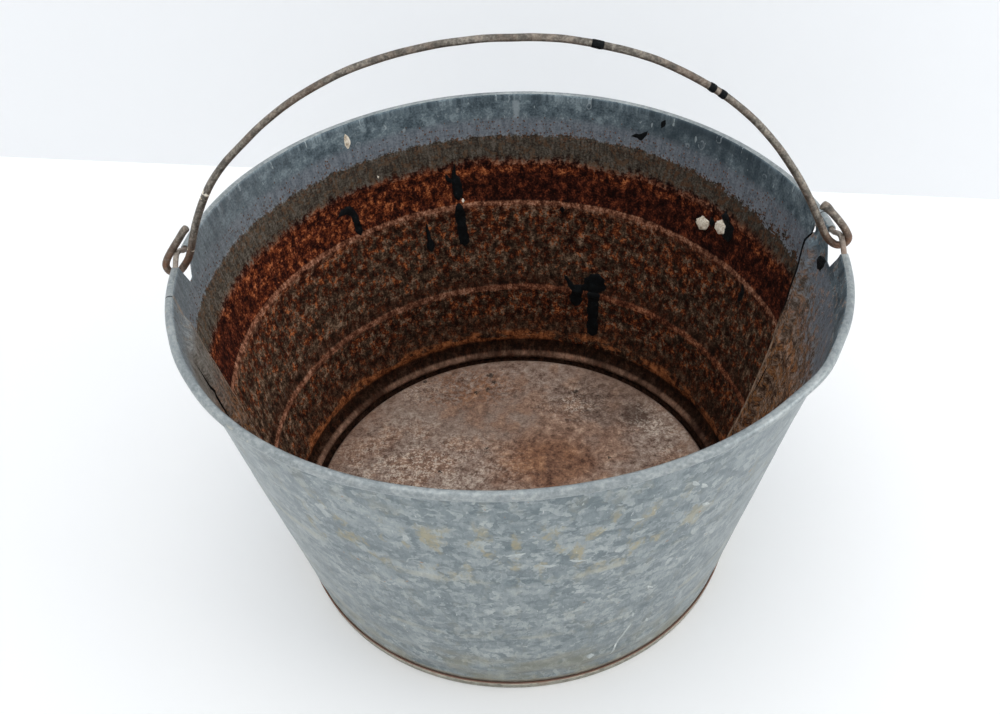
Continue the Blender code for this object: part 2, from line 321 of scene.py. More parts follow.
    def finish(self, color, rough, metal, normal=None, spec=None):
        self.put(self.b.inputs["Base Color"], color)
        self.put(self.b.inputs["Roughness"], rough)
        self.put(self.b.inputs["Metallic"], metal)
        if normal is not None:
            self.put(self.b.inputs["Normal"], normal)
        if spec is not None:
            self.put(self.b.inputs["Specular IOR Level"], spec)
        return self.mat


def srgb(r, g, b):
    """Linear colour from 0-255 display values."""
    def f(c):
        c /= 255.0
        return c / 12.92 if c <= 0.04045 else ((c + 0.055) / 1.055) ** 2.4
    return (f(r), f(g), f(b))


# ---------------------------------------------------------------- materials
def wall_coords(g):
    """flow (metres along the wall, height, 0), azimuth in degrees, height in mm."""
    x, y, z = g.split(g.attr("flow").outputs["Vector"])
    return g.join(x, y, 0.0), z, g.mul(y, 1000.0)


def shown(r, g, b, k=1.0):
    """Surface colour that shows about as this display colour in the bucket's light."""
    return tuple(min(c * k, 1.0) for c in srgb(r, g, b))


def field(g, v, stretch, scale, detail=4.0, rough=0.62, lo=0.36, hi=0.64, loc=(0, 0, 0)):
    """Noise pulled out to the whole 0..1 range."""
    return g.lerp(g.noise(g.mapped(v, stretch, loc), scale, detail, rough), lo, hi)


def sum3(g, a, b, c, ka, kb, kc):
    return g.add(g.add(g.mul(a, ka), g.mul(b, kb)), g.mul(c, kc))


def spangle(g, v):
    """Crystal plates of hot-dip zinc, 0..1: angular plates that overlap one another."""
    w = g.warp(v, 240.0, 0.0013, 2.0)
    w = g.warp(w, 900.0, 0.0005, 1.0)
    a = g.voronoi(g.mapped(w, (0.62, 1.15, 1.0), (0, 0, 0), (0, 0, 0.45)), 128.0, metric="MANHATTAN")
    b = g.voronoi(g.mapped(w, (1.25, 0.62, 1.0), (0.31, 0.17, 0.0), (0, 0, -0.7)), 138.0, metric="CHEBYCHEV")
    c = g.voronoi(g.mapped(w, (0.8, 1.0, 1.0), (0.11, 0.57, 0.0), (0, 0, 1.1)), 240.0, metric="MANHATTAN")
    ca = g.split(a.outputs["Color"])[0]
    cb = g.split(b.outputs["Color"])[1]
    cc = g.split(c.outputs["Color"])[2]
    m1 = g.step(g.noise(w, 130.0, 2.0, 0.6), 0.485, 0.515)
    m2 = g.step(g.noise(g.mapped(w, (1, 1, 1), (0.4, 0.9, 0)), 170.0, 2.0, 0.6), 0.52, 0.55)
    t = g.mixf(m1, ca, cb)
    t = g.mixf(m2, t, cc)
    da = g.mixf(m1, a.outputs["Distance"], b.outputs["Distance"])
    return t, da, w


def exterior_zinc(name, rim=False):
    g = Graph(name)
    v, az, z = wall_coords(g)
    tone, dist, w = spangle(g, v)
    big = g.noise(v, 9.0, 4.0, 0.55)
    mid = g.noise(v, 34.0, 4.0, 0.65)
    fine = g.noise(v, 1300.0, 2.0, 0.6)
    f1 = g.noise(g.mapped(w, (1.0, 0.14, 1.0), rot=(0, 0, 0.5)), 1000.0, 2.0, 0.6)
    f2 = g.noise(g.mapped(w, (1.0, 0.14, 1.0), rot=(0, 0, -0.9)), 1000.0, 2.0, 0.6)
    f = g.mixf(g.step(tone, 0.48, 0.52), f1, f2)
    t = g.add(g.add(0.5, g.mul(g.sub(tone, 0.5), 0.40)), g.mul(g.sub(big, 0.5), 0.32))
    t = g.add(t, g.mul(g.sub(mid, 0.5), 0.50))
    t = g.add(t, g.mul(g.sub(f, 0.5), 0.40))
    t = g.add(t, g.mul(g.sub(dist, 0.3), -0.25))
    t = g.add(t, g.mul(g.sub(fine, 0.5), 0.14))
    col = g.ramp(t, [(0.16, srgb(104, 115, 119)), (0.36, srgb(124, 134, 137)), (0.50, srgb(142, 150, 152)),
                     (0.64, srgb(156, 163, 163)), (0.84, srgb(180, 185, 184))])
    # tan streaks running down, mostly in a belt below the rim
    st = g.noise(g.mapped(w, (1.0, 0.55, 1.0)), 95.0, 4.0, 0.66)
    belt = g.add(g.mul(g.band(z, 148.0, 12.0, 20.0), 0.8), 0.22)
    belt = g.mul(belt, g.add(0.45, g.mul(g.band(az, 268.0, 22.0, 22.0), 0.55)))
    tan = g.mul(g.step(st, 0.52, 0.66), belt)
    col = g.mix(g.mul(tan, 0.72), col, srgb(160, 150, 118))
    sp = g.noise(v, 260.0, 1.0, 0.5)
    sp = g.mul(g.step(sp, 0.735, 0.76), g.step(g.noise(v, 22.0, 2.0), 0.52, 0.60))
    col = g.mix(g.mul(sp, 0.75), col, srgb(150, 106, 62))
    wh = g.mul(g.step(g.noise(g.mapped(v, (1.6, 0.42, 1.0), rot=(0, 0, 0.25)), 240.0, 3.0, 0.6), 0.665, 0.72),
               g.step(g.noise(v, 26.0, 2.0), 0.50, 0.60))
    col = g.mix(g.mul(wh, 0.65), col, srgb(204, 208, 206))
    low = g.add(z, g.mul(g.sub(g.noise(v, 70.0, 3.0), 0.5), 4.0))
    # painted shade: a dark band on the wall just under the overhang of the rolled rim
    curl = g.band(low, 194.4, 0.3, 1.2)
    col = g.mix(g.mul(curl, 0.45), col, srgb(64, 58, 52))
    stain = g.mul(g.band(low, 24.0, 12.0, 10.0), g.step(g.noise(g.mapped(v, (0.6, 1, 1)), 55.0, 4.0), 0.44, 0.62))
    col = g.mix(g.mul(stain, 0.42), col, srgb(144, 138, 112))
    foot = g.sub(1.0, g.step(low, 6.6, 8.2))
    col = g.mix(g.mul(g.sub(1.0, g.step(low, 8.6, 10.4)), 0.55), col, srgb(160, 152, 132))
    foot = g.sub(1.0, g.step(z, 6.3, 7.0))
    col = g.mix(g.mul(foot, 0.6), col, srgb(126, 80, 60))
    ridge = g.maxi(g.band(z, 123.5, 0.9, 1.8), g.band(z, 63.5, 0.9, 1.8))
    col = g.mix(g.mul(ridge, g.mul(g.step(mid, 0.42, 0.6), 0.35)), col, srgb(182, 178, 160))
    rough = g.add(0.40, g.mul(g.sub(tone, 0.5), 0.12))
    rough = g.add(rough, g.mul(tan, 0.2))
    metal = g.mixf(g.maxi(tan, g.maxi(sp, foot)), 0.76, 0.35)
    if rim:
        rt = g.add(g.mul(mid, 0.45), g.mul(g.noise(v, 420.0, 3.0, 0.65), 0.55))
        rc = g.ramp(rt, [(0.32, srgb(106, 113, 115)), (0.48, srgb(143, 149, 150)), (0.62, srgb(176, 180, 179))])
        col = g.mix(0.72, col, rc)
        flake = g.mul(g.step(g.noise(v, 170.0, 1.0), 0.70, 0.73), g.step(g.noise(v, 14.0, 1.0), 0.54, 0.60))
        col = g.mix(g.mul(flake, 0.8), col, srgb(214, 206, 186))
        metal = g.mul(metal, 0.72)
        cut = g.maxi(g.band(az, 191.0, 0.10, 0.10), g.band(g.math("MODULO", g.add(az, 0.0), 360.0), 9.3, 0.10, 0.10))
        col = g.mix(g.mul(cut, 0.85), col, srgb(42, 44, 46))
    h = g.add(g.mul(tone, 0.5), g.add(g.mul(fine, 0.3), g.mul(f, 0.5)))
    h = g.add(h, g.mul(mid, 0.9))
    nrm = g.bump(h, 0.00022, 0.5)
    return g.finish(col, rough, metal, nrm)


def interior_wall(name):
    """Zinc band at the top, rust below it, painted highlights and painted shade on the ribs."""
    g = Graph(name)
    v, az_raw, z = wall_coords(g)
    az = g.sub(az_raw, g.mul(g.math("GREATER_THAN", az_raw, 300.0), 360.0))
    K = 1.85
    w1 = g.noise(v, 11.0, 4.0, 0.6)
    w2 = g.noise(v, 42.0, 4.0, 0.62)
    wv = g.warp(v, 500.0, 0.0008, 2.0)
    na = field(g, wv, (1.0, 0.75, 1.0), 125.0, 4.0)
    nb = field(g, wv, (1.0, 0.72, 1.0), 300.0, 4.0, loc=(0.3, 0.1, 0))
    nc = field(g, v, (1.0, 1.0, 1.0), 820.0, 2.0, 0.6, loc=(0.1, 0.7, 0))
    nd = field(g, wv, (1.0, 0.8, 1.0), 210.0, 4.0, loc=(0.9, 0.4, 0))
    ne = field(g, v, (1.0, 0.75, 1.0), 560.0, 3.0, loc=(0.5, 0.2, 0))
    streak = field(g, v, (1.0, 0.10, 1.0), 480.0, 3.0)
    wide = g.noise(g.mapped(v, (1.0, 0.25, 1.0), (0.3, 0, 0)), 90.0, 3.0, 0.6)
    G1 = g.lerp(sum3(g, na, nb, nc, 0.30, 0.42, 0.28), 0.22, 0.78)
    G2 = g.lerp(sum3(g, nd, ne, w2, 0.50, 0.30, 0.20), 0.22, 0.78)
    zj = g.add(z, g.mul(g.sub(w2, 0.5), 2.6))                      # nearly level lines
    zz = g.add(z, g.add(g.mul(g.sub(w1, 0.5), 7.0), g.mul(g.sub(w2, 0.5), 7.0)))
    zs = g.add(zz, g.add(g.mul(g.sub(G1, 0.5), 5.0), g.mul(g.sub(streak, 0.5), 2.0)))
    leftness = g.step(az, 112.0, 176.0)
    rightness = g.sub(1.0, g.step(az, 22.0, 78.0))
    panel = g.maxi(g.sub(1.0, g.step(az, 8.9, 9.3)), g.step(az, 190.7, 191.1))   # the front sheet

    def c(r, gg, b):
        return shown(r, gg, b, K)

    rust = g.ramp(G1, [(0.0, c(16, 6, 4)), (0.28, c(32, 13, 7)), (0.52, c(52, 24, 13)),
                       (0.72, c(74, 36, 19)), (0.88, c(100, 52, 27)), (1.0, c(128, 76, 44))])
    film = g.ramp(G1, [(0.0, c(24, 17, 12)), (0.34, c(42, 32, 24)), (0.62, c(62, 50, 39)),
                       (0.85, c(82, 69, 56)), (1.0, c(104, 90, 76))])
    # how much of the wall is film rather than rust at this height
    share = g.mixf(g.step(zz, 84.0, 118.0), 0.60, 0.46)
    share = g.add(share, g.mul(g.band(zz, 52.0, 10.0, 14.0), -0.12))
    share = g.add(share, g.mul(leftness, 0.10))
    share = g.add(share, g.mul(g.sub(w1, 0.5), 0.9))
    m = g.step(g.sub(g.add(G2, share), 1.0), -0.10, 0.12)
    body = g.mix(g.mul(m, 0.88), rust, film)
    # red belt between the ribs
    red = g.ramp(g.lerp(G1, 0.08, 1.14), [(0.0, c(13, 4, 3)), (0.30, c(29, 10, 6)), (0.55, c(46, 19, 11)),
                                           (0.75, c(66, 29, 17)), (1.0, c(104, 54, 31))])
    orng = g.ramp(G1, [(0.0, c(30, 10, 5)), (0.4, c(70, 30, 15)), (0.7, c(104, 52, 27)), (1.0, c(150, 92, 56))])
    rl = g.mul(g.band(az, 136.0, 24.0, 22.0), g.step(G2, 0.30, 0.75))
    rl = g.maxi(rl, g.mul(g.band(zz, 153.5, 2.2, 4.0), g.step(G2, 0.40, 0.70)))
    red = g.mix(g.mul(rl, 0.75), red, orng)
    rz = g.mul(g.step(zj, 130.4, 131.8), g.sub(1.0, g.step(zs, 156.0, 161.5)))
    body = g.mix(rz, body, red)
    # rib two: painted highlight on its upward-facing lower side under the red, fading downwards, and on its crest
    b2 = g.mul(g.sub(1.0, g.step(zj, 130.6, 131.6)), g.step(zj, 121.0, 129.8))
    crest2_highlight = g.band(zj, 129.6, 0.8, 1.1)
    pale = g.ramp(G1, [(0.0, c(50, 27, 18)), (0.35, c(82, 50, 36)), (0.7, c(112, 76, 58)), (1.0, c(142, 108, 88))])
    body = g.mix(g.mul(b2, g.mul(g.step(G2, 0.15, 0.60), 0.55)), body, pale)
    body = g.mix(g.mul(crest2_highlight, g.add(0.35, g.mul(g.step(G2, 0.05, 0.45), 0.50))), body, pale)
    # painted highlight along the crest of rib one
    d1 = g.mul(g.band(zj, 156.8, 1.0, 1.3), g.step(g.add(g.mul(G2, 0.6), g.mul(wide, 0.6)), 0.52, 0.72))
    d1 = g.mul(d1, g.add(0.25, g.mul(g.band(az, 62.0, 24.0, 16.0), 0.75)))
    body = g.mix(g.mul(d1, 0.75), body, pale)
    # rib three: painted shade on the side above it, which faces down, painted highlight on the crown
    rib3_shade = g.band(zj, 73.2, 1.9, 3.6)
    body = g.mix(g.mul(rib3_shade, 0.62), body, g.mix(G1, c(16, 7, 4), c(52, 28, 18)))
    rib3_highlight = g.band(zj, 67.8, 1.5, 1.3)
    rib3_highlight_tint = g.mix(g.mul(g.sub(1.0, g.step(az, 60.0, 110.0)), 0.5), pale, orng)
    body = g.mix(g.mul(rib3_highlight, g.add(0.45, g.mul(g.step(G2, 0.0, 0.42), 0.45))), body, rib3_highlight_tint)
    # orange blotches on the shoulder over the foot
    bl = g.noise(g.mapped(v, (0.36, 1.0, 1.0), (0.05, 0.0, 0.0)), 62.0, 5.0, 0.66)
    bz = g.band(zz, 30.0, 2.8, 3.6)
    body = g.mix(g.mul(g.band(zz, 38.0, 4.0, 8.0), 0.55), body, g.mix(G1, c(18, 9, 6), c(56, 36, 25)))
    blot = g.mul(bz, g.step(bl, 0.47, 0.54))
    body = g.mix(g.mul(blot, 0.85), body, g.mix(G1, c(56, 26, 13), c(140, 86, 52)))
    # painted shade: a dark band in the outward hollow at about 22 mm, whose face turns down
    groove_shade = g.band(zj, 22.4, 3.3, 2.6)
    body = g.mix(g.mul(groove_shade, 0.90), body, g.mix(G1, c(11, 6, 4), c(38, 22, 14)))
    # painted highlight: a light band on the upward face of the lowest inward rib, broken into segments
    bead_highlight = g.band(z, 15.6, 1.9, 1.5)
    seg = g.noise(g.mapped(v, (0.30, 0.30, 0.6)), 60.0, 4.0, 0.7)
    body = g.mix(g.mul(bead_highlight, 0.80), body, g.mix(g.mul(g.step(seg, 0.36, 0.62), g.add(0.4, g.mul(G1, 0.6))),
                                                c(44, 27, 20), c(136, 106, 88)))
    # painted shade: the wall below the lowest rib, in the crevice at the bottom disc, made dark
    body = g.mix(g.mul(g.sub(1.0, g.step(z, 11.0, 13.5)), 0.9), body, g.mix(G1, c(24, 15, 11), c(60, 40, 30)))
    # brown film between the rust and the zinc
    K = 1.52
    GS = g.lerp(sum3(g, G1, streak, nc, 0.45, 0.35, 0.20), 0.2, 0.8)
    olive = g.ramp(GS, [(0.0, c(37, 31, 26)), (0.4, c(52, 47, 41)), (0.7, c(62, 57, 50)), (1.0, c(78, 72, 65))])
    olive = g.mix(g.mul(g.step(G2, 0.62, 0.80), 0.5), olive, c(76, 54, 36))
    olive = g.mix(g.mul(g.mul(rightness, g.step(G2, 0.40, 0.65)), 0.5), olive, c(74, 46, 28))
    tr = g.step(zs, 156.5, 161.5)
    body = g.mix(tr, body, olive)
    # the ends of the front sheet are greyer and stained
    side = g.ramp(G1, [(0.0, c(38, 26, 19)), (0.35, c(66, 52, 42)), (0.7, c(96, 82, 70)), (1.0, c(128, 112, 98))])
    side = g.mix(g.mul(g.step(G2, 0.52, 0.72), 0.75), side, g.mix(nc, c(96, 58, 32), c(136, 92, 54)))
    upper = g.mix(GS, c(74, 68, 62), c(112, 108, 102))
    side = g.mix(g.step(zz, 120.0, 176.0), side, g.mix(g.step(az, 185.0, 195.0), g.mix(0.5, side, upper), upper))
    body = g.mix(g.mul(panel, 0.80), body, side)
    # painted light: the body colour is lightened on the left wall and on the ends of the front sheet, and darkened on
    # the right wall, as the light falls
    shade = g.add(1.0, g.add(g.mul(g.mul(leftness, g.sub(1.0, panel)), 0.42), g.mul(panel, 0.10)))
    shade = g.sub(shade, g.mul(g.mul(rightness, g.sub(1.0, panel)), 0.26))
    body = g.vmath("SCALE", body, scale=shade)

    # zinc
    K = 1.30
    zt = g.lerp(sum3(g, streak, nb, nc, 0.34, 0.30, 0.36), 0.2, 0.8)
    mid_z = g.mix(zt, c(78, 85, 93), c(114, 121, 128))
    mid_z = g.mix(g.mul(g.step(wide, 0.54, 0.70), 0.40), mid_z, c(126, 134, 141))
    # painted shade and dark reflection: the zinc band just under the rim is given darker tones than the zinc below it
    TZ = g.lerp(sum3(g, na, nd, nc, 0.42, 0.34, 0.24), 0.22, 0.78)
    top_z = g.ramp(TZ, [(0.0, c(52, 64, 71)), (0.4, c(76, 89, 96)), (0.75, c(96, 109, 115)), (1.0, c(118, 131, 136))])
    top_z = g.mix(g.mul(g.step(w1, 0.44, 0.58), g.mul(g.band(az, 34.0, 16.0, 24.0), 0.85)), top_z, c(43, 55, 62))
    drop = g.step(g.noise(g.mapped(v, (1.3, 0.6, 1.0), (0.2, 0.4, 0)), 300.0, 1.0, 0.5), 0.70, 0.74)
    top_z = g.mix(g.mul(drop, 0.7), top_z, c(150, 160, 162))
    ring = g.voronoi(g.warp(g.mapped(v, (1.0, 0.8, 1.0)), 260.0, 0.0012), 110.0)
    rd = g.band(ring.outputs["Distance"], 0.20, 0.015, 0.03)
    rsel = g.math("GREATER_THAN", g.split(ring.outputs["Color"])[0], 0.66)
    top_z = g.mix(g.mul(g.mul(rd, rsel), g.mul(g.step(nb, 0.2, 0.6), 0.55)), top_z, c(142, 152, 156))
    # the pale run under the middle of the rim
    tear = g.mul(g.band(g.add(az, g.mul(g.sub(w2, 0.5), 2.0)), 88.6, 0.35, 0.6), g.band(z, 190.0, 4.5, 3.0))
    top_z = g.mix(g.mul(tear, 0.55), top_z, c(150, 160, 164))
    topness = g.step(zj, 182.0, 188.0)
    zinc = g.mix(topness, mid_z, top_z)
    # painted light: the zinc on the left wall is mixed lighter
    zinc = g.mix(g.mul(g.step(az, 128.0, 186.0), 0.62), zinc, g.mix(zt, c(106, 114, 118), c(146, 152, 155)))
    # where the zinc still shows
    drop_r = g.mul(g.sub(1.0, g.step(az, 16.0, 62.0)), 4.5)
    edge_z = g.sub(174.6, drop_r)
    rel = g.sub(g.add(zj, g.mul(g.sub(G1, 0.5), g.add(2.2, g.mul(drop_r, 1.6)))), edge_z)
    zm = g.step(rel, -0.9, 1.1)
    pz = g.add(g.add(z, g.mul(g.sub(w2, 0.5), 60.0)), g.mul(g.sub(G1, 0.5), 40.0))
    pan_z = g.step(g.add(pz, g.mul(g.sub(1.0, g.step(az, -14.0, 6.0)), 12.0)), 150.0, 186.0)
    pan_z = g.mixf(g.step(az, 180.0, 190.0), pan_z, g.step(g.add(zz, g.mul(g.sub(w2, 0.5), 16.0)), 180.0, 200.0))
    zm = g.mixf(panel, zm, pan_z)
    # rust specks in the lower zinc
    dots = g.voronoi(g.warp(g.mapped(v, (1.0, 0.8, 1.0)), 900.0, 0.0005), 640.0)
    dsel = g.math("GREATER_THAN", g.add(g.split(dots.outputs["Color"])[1], g.mul(g.sub(zz, 178.5), -0.06)), 0.42)
    dot = g.mul(g.sub(1.0, g.step(dots.outputs["Distance"], 0.22, 0.38)), dsel)
    dot = g.mul(dot, g.mul(g.step(zz, 168.0, 173.0), g.sub(1.0, panel)))
    dot = g.maxi(dot, g.mul(g.step(G2, 0.72, 0.86), g.mul(panel, 0.8)))
    zm = g.mul(zm, g.sub(1.0, g.mul(dot, 0.8)))
    col = g.mix(zm, body, zinc)
    col = g.mix(g.mul(g.mul(dot, g.sub(1.0, panel)), 0.75), col, g.mix(nc, c(70, 46, 34), c(108, 78, 60)))
    # pale grazes near the left joint
    gz = g.mul(g.step(g.noise(g.mapped(v, (1.6, 0.3, 1.0), (0.6, 0.1, 0), (0, 0, -0.35)), 150.0, 3.0, 0.6), 0.64, 0.70),
               g.mul(g.step(az, 150.0, 178.0), g.sub(1.0, panel)))
    col = g.mix(g.mul(gz, 0.5), col, c(124, 112, 104))
    # seams: painted highlight along the laps' folded edges, painted dark shade in the gap behind the right lap's edge
    gap_w = g.mul(g.step(z, 124.0, 150.0), g.sub(1.0, g.step(z, 190.0, 192.0)))
    gap_shade_r = g.mul(g.band(az, 9.05, 0.34, 0.10), gap_w)
    edge_highlight_r = g.mul(g.band(az, 8.95, 0.22, 0.25), g.sub(1.0, gap_w))
    edge_highlight_l = g.mul(g.band(az, 190.8, 0.30, 0.3), g.step(z, 20.0, 110.0))
    col = g.mix(g.mul(g.maxi(edge_highlight_r, edge_highlight_l), g.add(0.25, g.mul(G2, 0.45))), col, c(160, 140, 120))
    # painted shade: dark slits along the creases at the near edges of the laps
    bow = g.math("MAXIMUM", g.sub(1.0, g.math("POWER", g.math("DIVIDE", g.sub(z, 157.0), 25.0), 2.0)), 0.0)
    mid_l = 199.15
    slit_shade_l = g.step(g.sub(g.mul(bow, 0.44), g.math("ABSOLUTE", g.sub(az, mid_l))), 0.0, 0.08)
    bow2 = g.math("MAXIMUM", g.sub(1.0, g.math("POWER", g.math("DIVIDE", g.sub(z, 99.0), 15.0), 2.0)), 0.0)
    mid_r = g.add(7.2, g.mul(g.sub(98.0, z), 0.042))
    slit_shade_r = g.step(g.sub(g.mul(bow2, 0.27), g.math("ABSOLUTE", g.sub(az, mid_r))), 0.0, 0.06)
    painted_gap_shade = g.maxi(gap_shade_r, g.maxi(slit_shade_l, slit_shade_r))
    col = g.mix(painted_gap_shade, col, (0.0015, 0.0018, 0.002))
    zm = g.mul(zm, g.sub(1.0, painted_gap_shade))
    rough = g.mixf(zm, 0.86, g.add(0.40, g.mul(w2, 0.25)))
    metal = g.mul(zm, 0.50)
    h = g.add(g.mul(nb, 0.5), g.mul(ne, 0.5))
    h = g.mixf(zm, h, g.mul(h, 0.15))
    nrm = g.bump(h, 0.0006, 0.8)
    return g.finish(col, rough, metal, nrm, g.mixf(zm, 0.06, 0.5))


def base_inside(name):
    g = Graph(name)
    c = g.coord()
    x, y, z = g.split(c)
    X, Y = g.mul(x, 1000.0), g.mul(y, 1000.0)
    n1 = g.noise(c, 16.0, 4.0, 0.6)
    n2 = g.noise(c, 60.0, 5.0, 0.65)
    wc = g.warp(c, 400.0, 0.001, 2.0)
    n3 = g.lerp(g.noise(wc, 210.0, 4.0, 0.66), 0.35, 0.65)
    n4 = g.lerp(g.noise(c, 760.0, 2.0, 0.6), 0.35, 0.65)
    n5 = g.lerp(g.noise(g.mapped(wc, (1, 1, 1), (0.4, 0.2, 0.1)), 330.0, 4.0, 0.66), 0.36, 0.64)

    def ln(a, b):
        p = g.math("SQRT", g.add(g.mul(a, a), g.mul(b, b)))
        return p

    def spot(cx, cy, rx, ry, soft=0.5):
        """1 inside this ellipse, with a ragged edge."""
        d = ln(g.math("DIVIDE", g.sub(X, cx), rx), g.math("DIVIDE", g.sub(Y, cy), ry))
        d = g.add(d, g.add(g.mul(g.sub(n1, 0.5), 1.2), g.mul(g.sub(n2, 0.5), 1.0)))
        return g.sub(1.0, g.step(d, 1.0 - soft, 1.0 + soft))

    r = ln(g.sub(X, SHIFT[0]), g.sub(Y, SHIFT[1]))
    m = g.lerp(g.add(g.add(g.mul(n3, 0.5), g.mul(n4, 0.22)), g.mul(g.sub(n2, 0.5), 0.9)), -0.02, 0.76)
    col = g.ramp(m, [(0.0, srgb(84, 62, 50)), (0.25, srgb(130, 106, 92)), (0.5, srgb(158, 137, 123)),
                     (0.75, srgb(180, 161, 147)), (1.0, srgb(208, 194, 180))])
    orange = g.ramp(m, [(0.0, srgb(66, 38, 25)), (0.35, srgb(116, 76, 52)), (0.7, srgb(150, 104, 72)), (1.0, srgb(186, 140, 102))])
    brown = g.ramp(m, [(0.0, srgb(50, 34, 26)), (0.5, srgb(104, 80, 66)), (1.0, srgb(150, 124, 106))])
    smooth_mid = g.mix(n4, srgb(138, 118, 104), srgb(160, 141, 127))
    col = g.mix(g.mul(spot(-30, 68, 56, 24), 0.55), col, smooth_mid)
    om = g.mul(g.step(g.add(g.mul(n1, 0.6), g.mul(n2, 0.4)), 0.47, 0.56), 0.55)
    col = g.mix(om, col, orange)
    col = g.mix(g.mul(spot(20, 27, 34, 24), 0.85), col, orange)
    col = g.mix(g.mul(g.mul(spot(-40, 100, 40, 20), g.step(n5, 0.40, 0.60)), 0.8), col, orange)
    col = g.mix(g.mul(spot(64, 86, 30, 30), 0.62), col, brown)
    col = g.mix(g.mul(spot(80, 69, 8, 9), 0.7), col, srgb(74, 54, 42))
    lime = g.maxi(spot(-74, 26, 58, 34, 0.8), g.maxi(spot(-69, 97, 14, 9, 0.9), g.maxi(
        spot(36, 82, 18, 16, 0.95), spot(94, 54, 18, 24, 0.95))))
    lime = g.mul(lime, g.step(n2, 0.36, 0.58))
    fleck = g.step(g.add(g.mul(n5, 0.6), g.mul(n4, 0.4)), 0.52, 0.68)
    col = g.mix(g.mul(g.mul(lime, fleck), 0.66), col, srgb(226, 214, 198))
    dark = g.mul(g.step(g.sub(1.0, n5), 0.72, 0.88), g.add(0.30, g.mul(lime, 0.18)))
    col = g.mix(dark, col, srgb(84, 62, 50))
    rim = g.step(g.add(r, g.mul(g.sub(n2, 0.5), 18.0)), 108.0, 123.0)
    col = g.mix(g.mul(rim, 0.35), col, srgb(134, 106, 88))
    col = g.vmath("SCALE", col, scale=1.24)
    # painted shade: the disc's outer edge darkened where it dips into the crevice at the wall
    edge = g.step(g.add(r, g.mul(g.sub(n3, 0.5), 0.8)), 124.0, 125.6)
    col = g.mix(g.mul(edge, 0.85), col, srgb(50, 34, 26))
    pits = None
    for px, py, pr in ((-19.4, 112, 2.4), (-16.4, 105, 1.8), (-21, 97.6, 1.7), (-29, 94.4, 1.5), (41, 93.4, 1.8),
                       (-66, 107, 1.6), (-50, 20, 1.2), (12, -30, 1.3), (-20, 40, 1.1), (60, 30, 1.2)):
        d = ln(g.sub(X, px), g.sub(Y, py))
        k = g.sub(1.0, g.step(g.add(d, g.mul(g.sub(n4, 0.5), 1.6)), pr * 0.6, pr * 1.2))
        pits = k if pits is None else g.maxi(pits, k)
    col = g.mix(g.mul(pits, 0.85), col, srgb(48, 38, 32))
    rough = g.add(0.60, g.mul(n2, 0.25))
    h = g.sub(g.add(g.mul(n3, 0.6), g.mul(n4, 0.3)), g.mul(pits, 0.6))
    nrm = g.bump(h, 0.0006, 0.7)
    return g.finish(col, rough, 0.06, nrm)


def base_outside(name):
    g = Graph(name)
    c = g.coord()
    x, y, z = g.split(c)
    zm = g.mul(z, 1000.0)
    n2 = g.noise(c, 60.0, 4.0, 0.6)
    n3 = g.noise(c, 300.0, 3.0, 0.6)
    col = g.ramp(g.add(g.mul(n2, 0.5), g.mul(n3, 0.5)),
                 [(0.30, srgb(106, 100, 88)), (0.5, srgb(142, 140, 128)), (0.7, srgb(166, 164, 152))])
    top = g.step(g.add(zm, g.mul(g.sub(n3, 0.5), 0.8)), 5.8, 6.2)
    col = g.mix(g.mul(top, 0.75), col, srgb(118, 72, 56))
    line = g.band(g.add(zm, g.mul(g.sub(n2, 0.5), 1.0)), 4.9, 0.4, 0.4)
    col = g.mix(g.mul(line, g.mul(g.step(n3, 0.35, 0.6), 0.8)), col, srgb(200, 188, 168))
    spot = g.step(n2, 0.58, 0.68)
    col = g.mix(g.mul(spot, 0.4), col, srgb(120, 82, 58))
    nrm = g.bump(n3, 0.0004, 0.5)
    return g.finish(col, 0.62, 0.3, nrm)


def wire_metal(name, dark, mid, light, rusty, amount, hooks=False):
    g = Graph(name)
    c = g.coord()
    n1 = g.noise(c, 30.0, 3.0, 0.6)
    n2 = g.noise(c, 220.0, 4.0, 0.65)
    n3 = g.noise(c, 900.0, 3.0, 0.6)
    m = g.add(g.mul(n2, 0.6), g.mul(n3, 0.4))
    col = g.ramp(m, [(0.30, dark), (0.48, mid), (0.66, light)])
    ru = g.mul(g.step(g.add(g.mul(n1, 0.5), g.mul(n2, 0.5)), 0.47, 0.58), amount)
    if hooks:
        zmm = g.mul(g.split(c)[2], 1000.0)
        near = g.sub(1.0, g.step(g.add(zmm, g.mul(g.sub(n2, 0.5), 20.0)), 200.0, 222.0))
        ru = g.maxi(ru, g.mul(near, g.add(0.35, g.mul(g.step(n2, 0.42, 0.58), 0.55))))
    col = g.mix(ru, col, rusty)
    rough = g.add(0.34, g.mul(m, 0.3))
    nrm = g.bump(m, 0.0005, 0.7)
    return g.finish(col, rough, 0.62, nrm)


# ---------------------------------------------------------------- mesh helper
def mesh_object(name, verts, faces, mats, face_mats=None, flow=None, sharp=60.0):
    me = bpy.data.meshes.new(name)
    me.from_pydata([tuple(c * MM for c in v) for v in verts], [], faces)
    for m in mats:
        me.materials.append(m)
    if face_mats is not None:
        me.polygons.foreach_set("material_index", face_mats)
    if flow is not None:
        a = me.attributes.new("flow", "FLOAT_VECTOR", "POINT")
        a.data.foreach_set("vector", np.array(flow, np.float32).ravel())
    me.shade_smooth()
    me.set_sharp_from_angle(angle=math.radians(sharp))
    me.update()
    ob = bpy.data.objects.new(name, me)
    bpy.context.scene.collection.objects.link(ob)
    return ob


